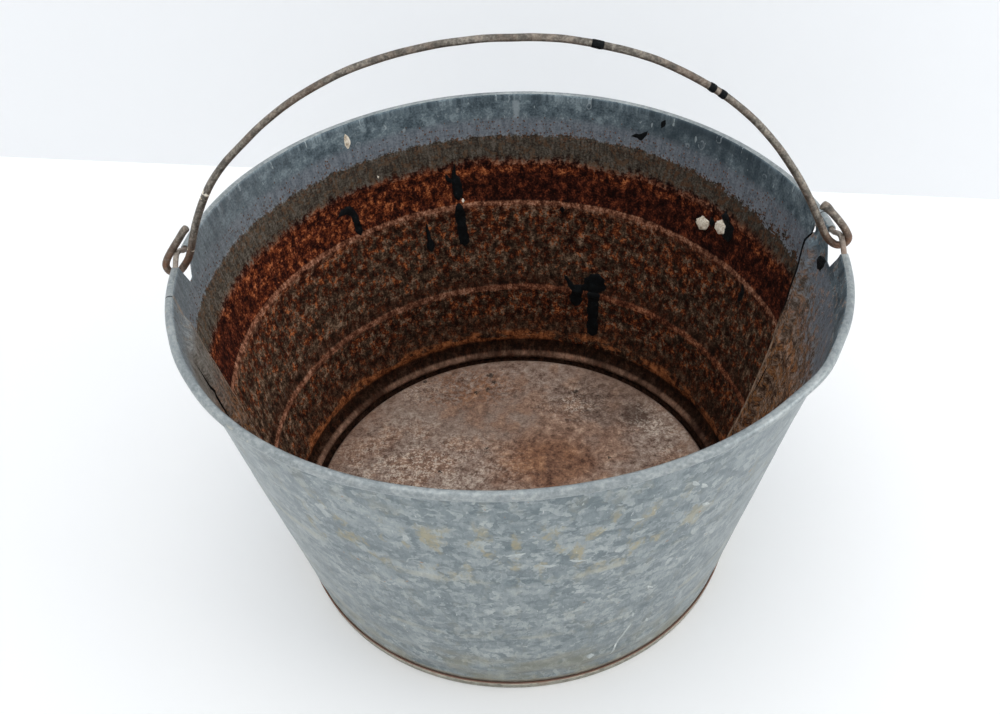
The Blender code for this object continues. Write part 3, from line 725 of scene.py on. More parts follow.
# ---------------------------------------------------------------- wall sheets
EARS = {
    "right": {"az": -1.4, "near": -4.1, "far": 4.1, "bottom": 187.0,
              "arch": [(-11.5, 0.0), (-9.8, 0.7), (-7.7, 2.2), (-5.3, 4.0), (-3.0, 5.3), (-0.6, 6.0), (1.8, 5.8),
                       (4.0, 4.9), (6.2, 3.8), (8.6, 2.4), (10.9, 1.0), (13.0, 0.2), (15.0, 0.0)]},
    "left": {"az": 181.1, "near": 183.2, "far": 176.7, "bottom": 187.0,
             "arch": [(-8.4, 0.0), (-7.3, 0.4), (-6.0, 1.6), (-3.8, 3.6), (-1.9, 5.2), (0.2, 5.9), (2.2, 5.5),
                      (4.3, 4.6), (6.5, 3.4), (8.6, 1.9), (10.2, 0.7), (12.0, 0.1), (13.5, 0.0)]},
}
NOTCH_HALF = 2.0


def wall_levels():
    zs = [WALL_FOOT_Z]
    z = 2.0
    while z < 45.0:
        zs.append(z)
        z += 1.3
    while z < 184.0:
        zs.append(z)
        z += 2.0
    zs += [184.5, 186.0, 187.6, 189.0, 190.4, 191.8, 193.2, 194.6, 196.0, 197.2]
    return zs


def wall_rows():
    across = SHEET / math.cos(math.radians(WALL_LEAN))
    rows = []
    for z in wall_levels():
        r = cone_radius(z) - rib(z)
        back = rib(z) - min(rib(z) * 0.45, 0.5)       # the ribs are softer on the outside
        rows.append({"curl": False, "z": z, "in": (r, z), "out": (r + across + back, z), "r": r, "back": back})
    n = 26
    for k in range(n + 1):
        t = math.radians(CURL_START + (CURL_END - CURL_START) * k / n)
        c, s = math.cos(t), math.sin(t)
        rows.append({"curl": True, "z": ROLL_HEIGHT, "t": k / n,
                     "in": (ROLL_RADIUS + CURL_OUT * c, ROLL_HEIGHT + CURL_OUT * s),
                     "out": (ROLL_RADIUS + CURL_IN * c, ROLL_HEIGHT + CURL_IN * s),
                     "r": ROLL_RADIUS})
    return rows


def lap_path(kind, w):
    """Middle line of a folded edge as (s, n), and which points stay outside it."""
    arc = 7
    pts = []
    if kind == "over":
        pts = [(-w - 6.4, 0.3), (-w - 5.0, 0.26), (-w - 4.0, -0.1), (-w - 3.2, -0.9),
               (-w - 2.5, -1.8), (-w - 1.7, -2.3), (-w - 0.6, -2.4),
               (-w * 0.75, -2.4), (-w * 0.5, -2.42), (-w * 0.25, -2.4), (-0.3, -2.4)]
        keep = len(pts)
        for k in range(1, arc + 1):
            a = math.radians(-90 + 180 * k / arc)
            pts.append((-0.3 + 0.9 * math.cos(a) * 1.2, -1.5 + 0.9 * math.sin(a)))
        pts += [(-w * 0.4, -0.6), (-w * 0.7, -0.6), (-w + 0.8, -0.6)]
    else:
        pts = [(1.2, 0.3), (0.0, 0.3)]
        keep = len(pts)
        pts += [(-w * 0.3, 0.3), (-w * 0.6, 0.3), (-w * 0.85, 0.3), (-w, 0.3)]
        for k in range(1, arc + 1):
            a = math.radians(90 + 180 * k / arc)
            pts.append((-w + 0.9 * math.cos(a), -0.6 + 0.9 * math.sin(a)))
        pts += [(-w * 0.6, -1.5), (-w * 0.3, -1.5), (-0.7, -1.5)]
    return pts, keep


def lap_surfaces(kind, w):
    pts, keep = lap_path(kind, w)
    out = []
    for i, (s, n) in enumerate(pts):
        p = pts[max(i - 1, 0)]
        q = pts[min(i + 1, len(pts) - 1)]
        dx, dy = q[0] - p[0], q[1] - p[1]
        ln = math.hypot(dx, dy)
        dx, dy = dx / ln, dy / ln
        # the sheet's outer side: left of the path for the front sheet, right for the back
        ox, oy = (-dy, dx) if kind == "over" else (dy, -dx)
        h = SHEET / 2
        out.append({"in": (s - ox * h, n - oy * h), "out": (s + ox * h, n + oy * h),
                    "plain": s if i < keep else None})
    return out


def wall_shell(name, kind, start, end, ear, az_step, mats):
    rows = wall_rows()
    at_start = "right" if kind == "under" else "left"
    at_end = "left" if kind == "under" else "right"
    lap0 = lap_surfaces(kind, SEAM_WIDTHS[at_start])
    lap1 = lap_surfaces(kind, SEAM_WIDTHS[at_end])
    lo, hi = SEAM_LO, SEAM_HI
    if kind == "under":
        lo, hi = lo + 2.2, hi - 2.0
    sign0, sign1 = (1.0, -1.0) if kind == "under" else (-1.0, 1.0)
    first = [("lap", c, start, sign0, at_start) for c in reversed(lap0)]
    last = [("lap", c, end, sign1, at_end) for c in lap1]
    a0, a1 = start + 1.7, end - 1.7
    if kind == "over":
        a0 = start + math.degrees((SEAM_WIDTHS[at_start] + 8.0) / 125.0)
        a1 = end - math.degrees((SEAM_WIDTHS[at_end] + 8.0) / 125.0)
    e = EARS[ear]
    base = 0.0 if kind == "under" else 360.0
    mid = e["az"] + base
    lo_az, hi_az = sorted((e["near"] + base, e["far"] + base))
    # columns on each side of the notch, drawn together towards its foot
    stations = []
    left_n = max(3, round((lo_az - a0) / az_step))
    right_n = max(3, round((a1 - hi_az) / az_step))
    cols = list(first)
    cols += [("side", k / left_n, a0, lo_az, -1.0) for k in range(left_n + 1)]
    cols += [("side", k / right_n, hi_az, a1, 1.0) for k in range(right_n + 1)]
    cols += last
    notch_col = len(first) + left_n
    across = 1.0 / math.cos(math.radians(WALL_LEAN))
    top_z = ROLL_HEIGHT - 0.5

    def notch_edge(row, side):
        """Azimuth of the notch's edge on this row."""
        goal = lo_az if side < 0 else hi_az
        foot = mid + side * math.degrees(NOTCH_HALF / row["r"])
        if row["curl"]:
            return goal
        z = row["z"]
        if z <= e["bottom"]:
            return foot
        f = min((z - e["bottom"]) / (top_z - e["bottom"]), 1.0)
        return foot + (goal - foot) * f

    def squeeze(row):
        """How far the joint's margin closes up where the notch comes near it."""
        if kind == "under":
            return 1.0
        free = math.radians(end + joint_lean("right", row["z"]) - notch_edge(row, 1.0)) * row["r"]
        return min(1.0, 0.9 * free / (SEAM_WIDTHS["right"] + 8.0))

    def column_az(col, row):
        """Where the column stands on this row, and its azimuth before the joint's lean."""
        _, f, x0, x1, side = col
        edge_az = notch_edge(row, side)
        if side < 0:
            add = joint_lean(at_start, row["z"])
            plain = x0 + (x1 - x0) * f
            pull = smooth(0.55, 1.0, f)
            nominal = plain + (edge_az - x1) * (pull if f < 1 else 1.0)
            return nominal + add * smooth(1.0, 0.0, f), nominal
        add = joint_lean(at_end, row["z"])
        if kind == "over":
            x1 = end - math.degrees((SEAM_WIDTHS["right"] + 7.0) * squeeze(row) / row["r"])
        plain = x0 + (x1 - x0) * f
        pull = smooth(0.55, 1.0, 1 - f)
        nominal = plain + (edge_az - x0) * (pull if f > 0 else 1.0)
        return nominal + add * smooth(0.0, 1.0, f), nominal

    inner, outer, azs = [], [], []
    for row in rows:
        folded = 0.0
        if not row["curl"]:
            folded = smooth(hi + 6.0, hi, row["z"]) * smooth(lo - 4.0, lo, row["z"])
        pi, po, pa = [], [], []
        for col in cols:
            if col[0] == "lap":
                c, joint, sign = col[1], col[2], col[3]
                lean = joint_lean(col[4], row["z"])
                tight = squeeze(row) if col[4] == "right" else 1.0
                for surf, store in (("in", pi), ("out", po)):
                    s, nn = c[surf]
                    if c["plain"] is not None:
                        flat = 0.0 if surf == "in" else SHEET
                        ps = c["plain"] * tight
                        if kind == "over" and col[4] == "right" and not row["curl"] and -6.0 < ps:
                            # corner of the front sheet nicked under the curl
                            ps -= 2.4 * min(smooth(188.6, 190.0, row["z"]), smooth(193.6, 192.4, row["z"])) * (ps + 6.0) / 5.8
                        s = ps + (s - ps) * folded
                        nn = flat + (nn - flat) * folded
                    if row["curl"]:
                        r, z = row[surf]
                    else:
                        r, z = row["r"] + nn * across, row["z"]
                        if surf == "out" and nn > 0.0:
                            r += row["back"]
                    a = joint + lean + sign * math.degrees(s / row["r"])
                    store.append(place(r, a, z))
                pa.append((a, a - lean))
            else:
                a, nominal = column_az(col, row)
                pi.append(place(row["in"][0], a, row["in"][1]))
                po.append(place(row["out"][0], a, row["out"][1]))
                pa.append((a, nominal))
        inner.append(pi)
        outer.append(po)
        azs.append(pa)
    # which cells hold metal
    solid = []
    for i in range(len(rows) - 1):
        a, b = rows[i], rows[i + 1]
        on = (not b["curl"]) and lo - 0.01 <= a["z"] and b["z"] <= hi + 0.01
        line = []
        for j in range(len(cols) - 1):
            ok = True
            if j == notch_col:
                ok = a["z"] < e["bottom"] - 0.01
            ca, cb = cols[j], cols[j + 1]
            if ca[0] == "lap" and cb[0] == "lap":
                if ca[1]["plain"] is None or cb[1]["plain"] is None:
                    ok = on
            line.append(ok)
        solid.append(line)
    verts, faces, fmat, flow, index = [], [], [], [], {}
    nr, nc = len(rows), len(cols)

    def vert(side, i, j):
        key = (side, i, j)
        if key not in index:
            index[key] = len(verts)
            p = inner[i][j] if side == 0 else outer[i][j]
            verts.append(p)
            a, nominal = azs[i][j]
            z = p[2]
            if rows[i]["curl"]:
                z = ROLL_HEIGHT - 2.0 + rows[i]["t"] * 13.0
            flow.append((math.radians(a) * 0.150, z * MM, nominal))
        return index[key]

    def filled(i, j):
        return 0 <= i < nr - 1 and 0 <= j < nc - 1 and solid[i][j]

    for i in range(nr - 1):
        for j in range(nc - 1):
            if not filled(i, j):
                continue
            curl = rows[i]["curl"] and rows[i]["t"] > 0.10
            m_in = 2 if curl else 0
            faces.append((vert(0, i, j), vert(0, i + 1, j), vert(0, i + 1, j + 1), vert(0, i, j + 1)))
            fmat.append(m_in)
            faces.append((vert(1, i, j), vert(1, i, j + 1), vert(1, i + 1, j + 1), vert(1, i + 1, j)))
            fmat.append(2 if curl else 1)
            for ni, nj, a, b in ((i - 1, j, (i, j), (i, j + 1)),
                                 (i, j + 1, (i, j + 1), (i + 1, j + 1)),
                                 (i + 1, j, (i + 1, j + 1), (i + 1, j)),
                                 (i, j - 1, (i + 1, j), (i, j))):
                if not filled(ni, nj):
                    faces.append((vert(0, *a), vert(0, *b), vert(1, *b), vert(1, *a)))
                    fmat.append(m_in)
    return mesh_object(name, verts, faces, mats, fmat, flow, 50.0)


# ---------------------------------------------------------------- bottom
def bottom(name, mats):
    r_in = cone_radius(FOOT_HEIGHT) + SHEET / math.cos(math.radians(WALL_LEAN))
    d, t = DISC_RADIUS, SHEET
    rings = []           # (radius, height, material)
    for k in range(1, 58):
        r = (d - 4.0) * k / 57
        rings.append((r, DISC_Z, 0, "top"))
    rings += [(d - 2.6, DISC_Z, 0, "top"), (d - 1.2, DISC_Z - 0.15, 0, "top"),
              (d, DISC_Z - 0.6, 0, "top"), (d + 0.9, DISC_Z - 1.5, 0, ""),
              (d + 1.6, DISC_Z - 2.8, 0, ""), (d + 2.3, DISC_Z - 4.8, 0, ""),
              (128.3, 6.4, 0, ""), (128.55, 2.6, 0, ""), (128.8, 1.2, 0, ""),
              (129.05, t, 1, ""), (130.2, t, 1, ""), (130.42, 1.25, 1, ""),
              (r_in + 0.12, FOOT_HEIGHT - 0.1, 1, ""), (r_in + 0.45, FOOT_HEIGHT + 0.12, 1, ""),
              (r_in + 0.90, FOOT_HEIGHT + 0.02, 1, ""), (r_in + 1.06, FOOT_HEIGHT - 0.25, 1, ""),
              (r_in + 0.75, FOOT_HEIGHT - 1.6, 1, ""), (r_in + 0.40, FOOT_HEIGHT - 3.4, 1, ""),
              (FOOT_RADIUS + 0.05, 1.4, 1, ""), (FOOT_RADIUS - 0.1, 0.7, 1, ""),
              (FOOT_RADIUS - 0.5, 0.15, 1, ""), (FOOT_RADIUS - 1.0, 0.0, 1, ""),
              (129.2, 0.0, 1, ""), (128.6, 0.2, 1, ""), (128.2, 1.0, 1, ""), (127.95, 2.4, 1, ""),
              (127.75, 6.2, 1, ""), (d + 1.75, DISC_Z - 4.9, 1, ""), (d + 1.05, DISC_Z - 2.9, 1, ""),
              (d - 0.35, DISC_Z - 1.25, 1, ""), (d - 2.7, DISC_Z - t, 1, "under")]
    for k in range(30, 0, -1):
        rings.append(((d - 4.0) * k / 30, DISC_Z - t, 1, "under"))
    n = 300

    def wave(x, y):
        p = Vector((x * 0.018, y * 0.018, 4.2))
        q = Vector((x * 0.07, y * 0.07, 1.7))
        rr = math.hypot(x, y)
        return (0.9 * noise.noise(p) + 0.22 * noise.noise(q) + 0.5 * (1 - (rr / d) ** 2)) * smooth(d, d - 22, rr)

    def point(r, az, z, tag):
        a = math.radians(az)
        x, y = r * math.cos(a), r * math.sin(a)
        if tag in ("top", "under"):
            z += wave(x, y)
        return (SHIFT[0] + x, SHIFT[1] + y, z)

    verts = [point(0, 0, DISC_Z, "top"), point(0, 0, DISC_Z - t, "under")]
    for r, z, m, tag in rings:
        verts += [point(r, 360.0 * k / n, z, tag) for k in range(n)]

    def at(i, k):
        return 2 + i * n + k % n

    faces, fmat = [], []
    for k in range(n):
        faces.append((0, at(0, k), at(0, k + 1)))
        fmat.append(0)
        faces.append((1, at(len(rings) - 1, k + 1), at(len(rings) - 1, k)))
        fmat.append(1)
        for i in range(len(rings) - 1):
            faces.append((at(i, k), at(i + 1, k), at(i + 1, k + 1), at(i, k + 1)))
            fmat.append(rings[i + 1][2])
    return mesh_object(name, verts, faces, mats, fmat, None, 50.0)


# ---------------------------------------------------------------- wires
def spline(points, step):
    """Centripetal Catmull-Rom line through the points, resampled at equal steps."""
    P = [Vector(p) for p in points]
    P = [P[0] * 2 - P[1]] + P + [P[-1] * 2 - P[-2]]
    dense = []
    for i in range(1, len(P) - 2):
        p0, p1, p2, p3 = P[i - 1], P[i], P[i + 1], P[i + 2]
        t0 = 0.0
        t1 = t0 + max((p1 - p0).length, 1e-6) ** 0.5
        t2 = t1 + max((p2 - p1).length, 1e-6) ** 0.5
        t3 = t2 + max((p3 - p2).length, 1e-6) ** 0.5
        m = max(4, int((p2 - p1).length / 0.25))
        for k in range(m):
            t = t1 + (t2 - t1) * k / m
            a1 = p0 * ((t1 - t) / (t1 - t0)) + p1 * ((t - t0) / (t1 - t0))
            a2 = p1 * ((t2 - t) / (t2 - t1)) + p2 * ((t - t1) / (t2 - t1))
            a3 = p2 * ((t3 - t) / (t3 - t2)) + p3 * ((t - t2) / (t3 - t2))
            b1 = a1 * ((t2 - t) / (t2 - t0)) + a2 * ((t - t0) / (t2 - t0))
            b2 = a2 * ((t3 - t) / (t3 - t1)) + a3 * ((t - t1) / (t3 - t1))
            dense.append(b1 * ((t2 - t) / (t2 - t1)) + b2 * ((t - t1) / (t2 - t1)))
    dense.append(P[-2].copy())
    out = [dense[0]]
    acc = 0.0
    for a, b in zip(dense, dense[1:]):
        d = (b - a).length
        while d > 1e-9 and acc + d >= step:
            f = (step - acc) / d
            a = a.lerp(b, f)
            out.append(a)
            d = (b - a).length
            acc = 0.0
        acc += d
    if (out[-1] - dense[-1]).length > step * 0.3:
        out.append(dense[-1])
    return out


def sweep(name, path, radius, sides, closed, mats, up=(0, 0, 1), ends=True):
    """Wire along the path; radius(i, n) gives (half width, half height)."""
    n = len(path)
    tang = []
    for i in range(n):
        if closed:
            t = path[(i + 1) % n] - path[i - 1]
        else:
            t = path[min(i + 1, n - 1)] - path[max(i - 1, 0)]
        tang.append(t.normalized())
    u = Vector(up).cross(tang[0]).normalized()
    verts, faces, flow = [], [], []
    length = 0.0
    first = u.copy()
    frames = []
    for i in range(n):
        t = tang[i]
        u = (u - t * u.dot(t)).normalized()
        frames.append(u.copy())
    if closed:            # spread the twist that is left over round the ring
        t = tang[0]
        uu = (frames[-1] - t * frames[-1].dot(t)).normalized()
        ang = math.atan2(uu.cross(first).dot(t), uu.dot(first))
    else:
        ang = 0.0
    for i in range(n):
        t, u = tang[i], frames[i]
        if closed:
            u = Matrix.Rotation(ang * i / n, 3, t) @ u
        w = t.cross(u)
        ra, rb = radius(i, n)
        for k in range(sides):
            a = 2 * math.pi * (k + 0.5) / sides
            p = path[i] + u * (ra * math.cos(a)) + w * (rb * math.sin(a))
            verts.append(tuple(p))
            flow.append((length * MM, 0.0, 0.0))
        if i + 1 < n:
            length += (path[i + 1] - path[i]).length
    for i in range(n if closed else n - 1):
        for k in range(sides):
            a, b = i * sides, ((i + 1) % n) * sides
            k2 = (k + 1) % sides
            faces.append((a + k, a + k2, b + k2, b + k))
    if not closed:
        for i, sgn in ((0, -1), (n - 1, 1)):
            ra, rb = radius(i, n)
            t, u = tang[i], frames[i]
            w = t.cross(u)
            prev = [i * sides + k for k in range(sides)]
            for f, o in ((0.86, 0.32), (0.55, 0.55)):
                ring = []
                for k in range(sides):
                    a = 2 * math.pi * (k + 0.5) / sides
                    p = path[i] + t * (sgn * o) + u * (ra * f * math.cos(a)) + w * (rb * f * math.sin(a))
                    ring.append(len(verts))
                    verts.append(tuple(p))
                    flow.append((length * MM if i else 0.0, 0.0, 0.0))
                for k in range(sides):
                    k2 = (k + 1) % sides
                    if sgn > 0:
                        faces.append((prev[k], prev[k2], ring[k2], ring[k]))
                    else:
                        faces.append((prev[k2], prev[k], ring[k], ring[k2]))
                prev = ring
            c = len(verts)
            verts.append(tuple(path[i] + t * (sgn * 0.62)))
            flow.append((length * MM if i else 0.0, 0.0, 0.0))
            for k in range(sides):
                k2 = (k + 1) % sides
                faces.append((prev[k], prev[k2], c) if sgn > 0 else (prev[k2], prev[k], c))
    ob = mesh_object(name, verts, faces, mats, None, flow, 60.0)
    return ob


def rim_wire(name, mats):
    """Closed ring in the curl, rising as an arch at each ear."""
    pts = []

    def ring_point(az, h):
        a = math.radians(az)
        r = ROLL_RADIUS + out_of_round(az) + dent(az, ROLL_HEIGHT) + kink(az, ROLL_HEIGHT)
        return Vector((SHIFT[0] + r * math.cos(a), SHIFT[1] + r * math.sin(a), ROLL_HEIGHT + h))

    def arch(y, table):
        """Height of the arch at this distance along the rim."""
        for (y0, h0), (y1, h1) in zip(table, table[1:]):
            if y0 <= y <= y1:
                h = h0 + (h1 - h0) * (y - y0) / (y1 - y0)
                return h
        return 0.0

    az = 20.0
    while az < 380.0:
        p = ring_point(az, 0.0)
        h, fine = 0.0, abs(p.y) < 20
        if fine:
            h = arch(p.y, EARS["right" if p.x > 0 else "left"]["arch"])
        lean = 0.10 * h
        a = math.radians(az)
        pts.append(Vector((p.x - lean * math.cos(a), p.y - lean * math.sin(a), p.z + h)))
        az += 0.08 if fine else 1.0
    # even out the fine part
    out = [pts[0]]
    for p in pts[1:]:
        if (p - out[-1]).length > 0.55:
            out.append(p)
    for _ in range(5):
        sm = list(out)
        for i in range(len(out)):
            sm[i] = (out[i - 1] + out[i] * 2 + out[(i + 1) % len(out)]) / 4
        out = sm
    return sweep(name, out, lambda i, n: (WIRE_R, WIRE_R), 16, True, mats)


def bail_path():
    z0 = ROLL_HEIGHT
    left = [(-161.2, 1.5, 20.4), (-163.1, 1.4, 18.5), (-165.8, 1.3, 15.0), (-169.5, 1.2, 10.3),
            (-172.9, 1.0, 5.9), (-175.6, 0.7, 1.9), (-177.0, 0.4, -1.7), (-176.2, 0.4, -5.0),
            (-173.4, 0.0, -6.2), (-170.2, 0.0, -4.8), (-167.2, 0.0, -1.6), (-163.9, 0.0, 2.9),
            (-161.0, 0.0, 9.1), (-158.2, 0.0, 16.3)]
    bow = [(-154.5, 25.0), (-150.4, 33.1), (-146.1, 40.6), (-141.6, 47.4),
           (-132.6, 58.2), (-121.8, 68.2), (-111.6, 77.0), (-100.6, 85.2), (-90.2, 91.8),
           (-80.1, 97.2), (-70.2, 101.8), (-60.7, 105.5), (-51.3, 108.5), (-42.1, 111.0),
           (-33.0, 112.8), (-24.0, 114.2), (-15.1, 115.2), (-6.2, 115.9), (2.6, 116.2),
           (11.4, 116.1), (20.1, 115.7), (28.9, 114.8), (37.6, 113.4), (46.4, 111.5),
           (55.3, 109.2), (64.2, 106.3), (73.2, 102.7), (82.3, 98.2), (91.6, 92.9),
           (101.2, 86.7), (111.0, 79.1), (121.0, 69.6), (130.4, 58.8), (138.0, 48.4),
           (143.4, 40.4), (147.8, 33.0)]
    right = [(151.7, 0.0, 26.0), (154.6, 0.0, 20.3), (156.6, 0.0, 16.4), (158.7, 0.0, 12.2), (161.1, 0.0, 7.6),
             (164.4, 0.0, 3.3), (168.4, 0.1, 0.8), (172.0, 0.4, 1.5), (173.4, 0.7, 4.3),
             (171.7, 1.0, 8.3), (167.2, 0.9, 14.6), (162.7, 1.1, 19.7), (159.6, 1.2, 22.9),
             (157.6, 1.2, 24.1)]
    pts = [(x, y, z0 + h) for x, y, h in left] + [(x, 0.0, z0 + h) for x, h in bow] \
        + [(x, y, z0 + h) for x, y, h in right]
    path = spline(pts, 1.0)
    # hand-bent wire: it wavers a little
    wob = []
    for i, p in enumerate(path):
        q = Vector((p.x * 0.035, 0.0, 7.7))
        k = smooth(10, 60, p.z - z0)
        wob.append(p + Vector((0.0, 0.8 * noise.noise(q) * k, 0.25 * noise.noise(q * 2.1) * k)))
    return wob


def bail_wire(name, path, mats):
    def radius(i, n):
        hgt = path[i].z - ROLL_HEIGHT
        d = 3.85 - 0.45 * smooth(25, 95, hgt)
        d += 0.10 * noise.noise(Vector((i * 0.11, 2.0, 0.0)))
        ra = rb = d / 2
        left_over = n - 1 - i
        if left_over < 7:            # the cut end was hammered flat
            f = smooth(7, 1, left_over)
            ra, rb = ra * (1 + 0.30 * f), rb * (1 - 0.25 * f)
        return ra, rb

    return sweep(name, path, radius, 20, False, mats, up=(0, 1, 0))


# ---------------------------------------------------------------- deposits
def lump_material(name, stops, rough, bump, spec=0.4):
    g = Graph(name)
    c = g.coord()
    n2 = g.noise(c, 260.0, 4.0, 0.62)
    n3 = g.noise(c, 1100.0, 3.0, 0.6)
    m = g.lerp(g.add(g.mul(n2, 0.6), g.mul(n3, 0.4)), 0.34, 0.66)
    col = g.ramp(m, [(p, srgb(*k)) for p, k in stops])
    nrm = g.bump(m, bump, 0.8)
    return g.finish(col, g.add(rough, g.mul(m, 0.2)), 0.0, nrm, spec)


def wall_lumps(name, strokes, mat, inside=True):
    """Drips and specks on the wall: domed strokes along (azimuth, height, half width) points."""
    across = SHEET / math.cos(math.radians(WALL_LEAN))
    verts, faces = [], []
    for si, (thick, pts) in enumerate(strokes):
        line = []
        for (a0, z0, h0), (a1, z1, h1) in zip(pts, pts[1:]):
            r = cone_radius((z0 + z1) / 2)
            ln = math.hypot(math.radians(a1 - a0) * r, z1 - z0)
            m = max(2, int(ln / 0.7))
            line += [(a0 + (a1 - a0) * k / m, z0 + (z1 - z0) * k / m, h0 + (h1 - h0) * smooth(0, 1, k / m))
                     for k in range(m)]
        line.append(pts[-1])
        n, across_n = len(line), 8
        rings = []
        for i, (a, z, h) in enumerate(line):
            p, q = line[max(i - 1, 0)], line[min(i + 1, n - 1)]
            r = cone_radius(z)
            du, dz = math.radians(q[0] - p[0]) * r, q[1] - p[1]
            ln = max(math.hypot(du, dz), 1e-6)
            nu, nz = -dz / ln, du / ln
            h *= 1.0 + 0.22 * noise.noise(Vector((a * 0.9, z * 0.45, si * 3.7)))
            end = min(1.0, 0.35 + 0.65 * min(i, n - 1 - i) / 2.5)
            top, bot = [], []
            for k in range(across_n + 1):
                o = -1.0 + 2.0 * k / across_n
                e = h * end * (1.0 + 0.15 * noise.noise(Vector((a * 2.1 + k, z * 1.1, si * 5.1))))
                aa, zz = a + math.degrees(nu * o * e / r), z + nz * o * e
                zz = min(zz, 197.0)
                dome = thick * end * (max(1.0 - o * o, 0.0)) ** 0.45 * (
                    1.0 + 0.35 * noise.noise(Vector((aa * 1.3, zz * 0.6, 9.0))))
                if inside:
                    base = cone_radius(zz) - rib(zz)
                    top.append(place(base - dome - 0.02, aa, zz))
                    bot.append(place(base + 0.25, aa, zz))
                else:
                    base = cone_radius(zz) - rib(zz) * 0.45 + across
                    top.append(place(base + dome + 0.02, aa, zz))
                    bot.append(place(base - 0.25, aa, zz))
            start = len(verts)
            verts += top + bot[::-1]
            rings.append(start)
        m = 2 * (across_n + 1)
        for a, b in zip(rings, rings[1:]):
            for k in range(m):
                faces.append((a + k, a + (k + 1) % m, b + (k + 1) % m, b + k))
        faces.append(tuple(rings[0] + k for k in range(m))[::-1])
        faces.append(tuple(rings[-1] + k for k in range(m)))
    ob = mesh_object(name, verts, faces, [mat], None, None, 40.0)
    bm = bmesh.new()
    bm.from_mesh(ob.data)
    bmesh.ops.recalc_face_normals(bm, faces=bm.faces[:])
    bm.to_mesh(ob.data)
    bm.free()
    return ob


TAR = [
    (0.8, [(102.9, 159, 0.5), (103.0, 155.5, 0.9), (103.3, 151.5, 1.7), (103.0, 148, 2.9), (102.8, 144.5, 3.2),
           (102.7, 139, 3.2), (102.8, 134, 2.5)]),
    (0.8, [(102.9, 132, 2.2), (102.9, 126, 3.4), (102.7, 118, 3.3), (102.6, 110, 3.4), (102.4, 104, 3.5), (102.5, 101.0, 2.4)]),
    (0.6, [(105.2, 153, 0.6), (104.9, 149.5, 1.3), (104.0, 146.5, 2.0)]),
    (0.7, [(111.6, 123, 0.4), (111.6, 118, 0.9), (111.5, 112, 1.6), (111.4, 106.5, 2.6), (111.4, 102, 2.4)]),
    (0.7, [(133.4, 146.8, 0.9), (132.0, 148.4, 2.1), (130.2, 148.0, 2.6), (129.2, 144, 2.4), (129.0, 138, 2.4),
           (129.0, 132, 2.7), (129.0, 129.8, 1.8)]),
    (0.8, [(66.2, 84, 1.6), (66.4, 80.5, 6.0), (66.8, 76, 8.2), (66.8, 72, 7.0), (66.6, 69, 4.4)]),
    (0.8, [(67.0, 71, 4.4), (66.9, 60, 4.2), (66.7, 50, 4.1), (66.4, 42, 4.2), (66.3, 36.2, 3.2)]),
    (0.8, [(67.5, 74, 2.8), (69.2, 72.5, 2.5), (70.6, 71.0, 2.8)]),
    (0.8, [(70.6, 73, 2.4), (71.7, 69, 4.0), (72.0, 63, 4.6), (72.2, 56.5, 3.4)]),
    (0.5, [(72.4, 68, 1.8), (73.8, 72, 1.7), (75.0, 76, 1.4), (75.9, 78.5, 0.8)]),
    (0.5, [(22.8, 128.5, 0.8), (22.6, 124, 1.5), (22.9, 119, 1.9), (23.2, 115, 1.2)]),
    (0.5, [(77.0, 128.3, 1.0), (77.0, 125.6, 1.8), (77.0, 123, 1.1)]),
    (0.6, [(34.4, 160.5, 1.0), (34.0, 156.5, 3.2), (32.8, 151.5, 5.4), (32.2, 147.0, 4.4), (31.6, 143.5, 2.0)]),
    (0.5, [(38.0, 151.5, 1.2), (37.5, 148.5, 2.6), (37.4, 146.0, 1.4)]),
    (0.4, [(61.8, 181.6, 0.6), (60.6, 182.6, 1.3), (59.6, 182.2, 1.9), (58.6, 185.2, 1.2), (58.2, 187.0, 0.6)]),
    (0.4, [(54.4, 197.0, 1.1), (54.8, 194, 1.8), (55.1, 191.5, 0.9)]),
    (0.6, [(-0.1, 187.2, 1.6), (0.8, 184.6, 3.8), (1.5, 182.2, 4.2), (1.7, 179.2, 3.0)]),
]
WHITE = [
    (1.5, [(34.7, 154.0, 2.4), (34.6, 150.5, 4.7), (34.8, 147.5, 4.8), (34.9, 144.6, 2.6)]),
    (1.5, [(40.3, 149.4, 2.2), (40.0, 146.2, 5.0), (40.1, 143.4, 4.8), (40.3, 140.8, 2.4)]),
    (0.25, [(101.7, 134.6, 0.8), (101.7, 133.0, 1.1), (101.8, 131.8, 0.7)]),
    (0.25, [(126.5, 194.5, 1.2), (126.4, 190.0, 2.0), (126.6, 185.5, 1.5)]),
    (0.25, [(121.3, 162.5, 0.5), (121.2, 161.5, 0.9), (121.1, 160.7, 0.5)]),
]
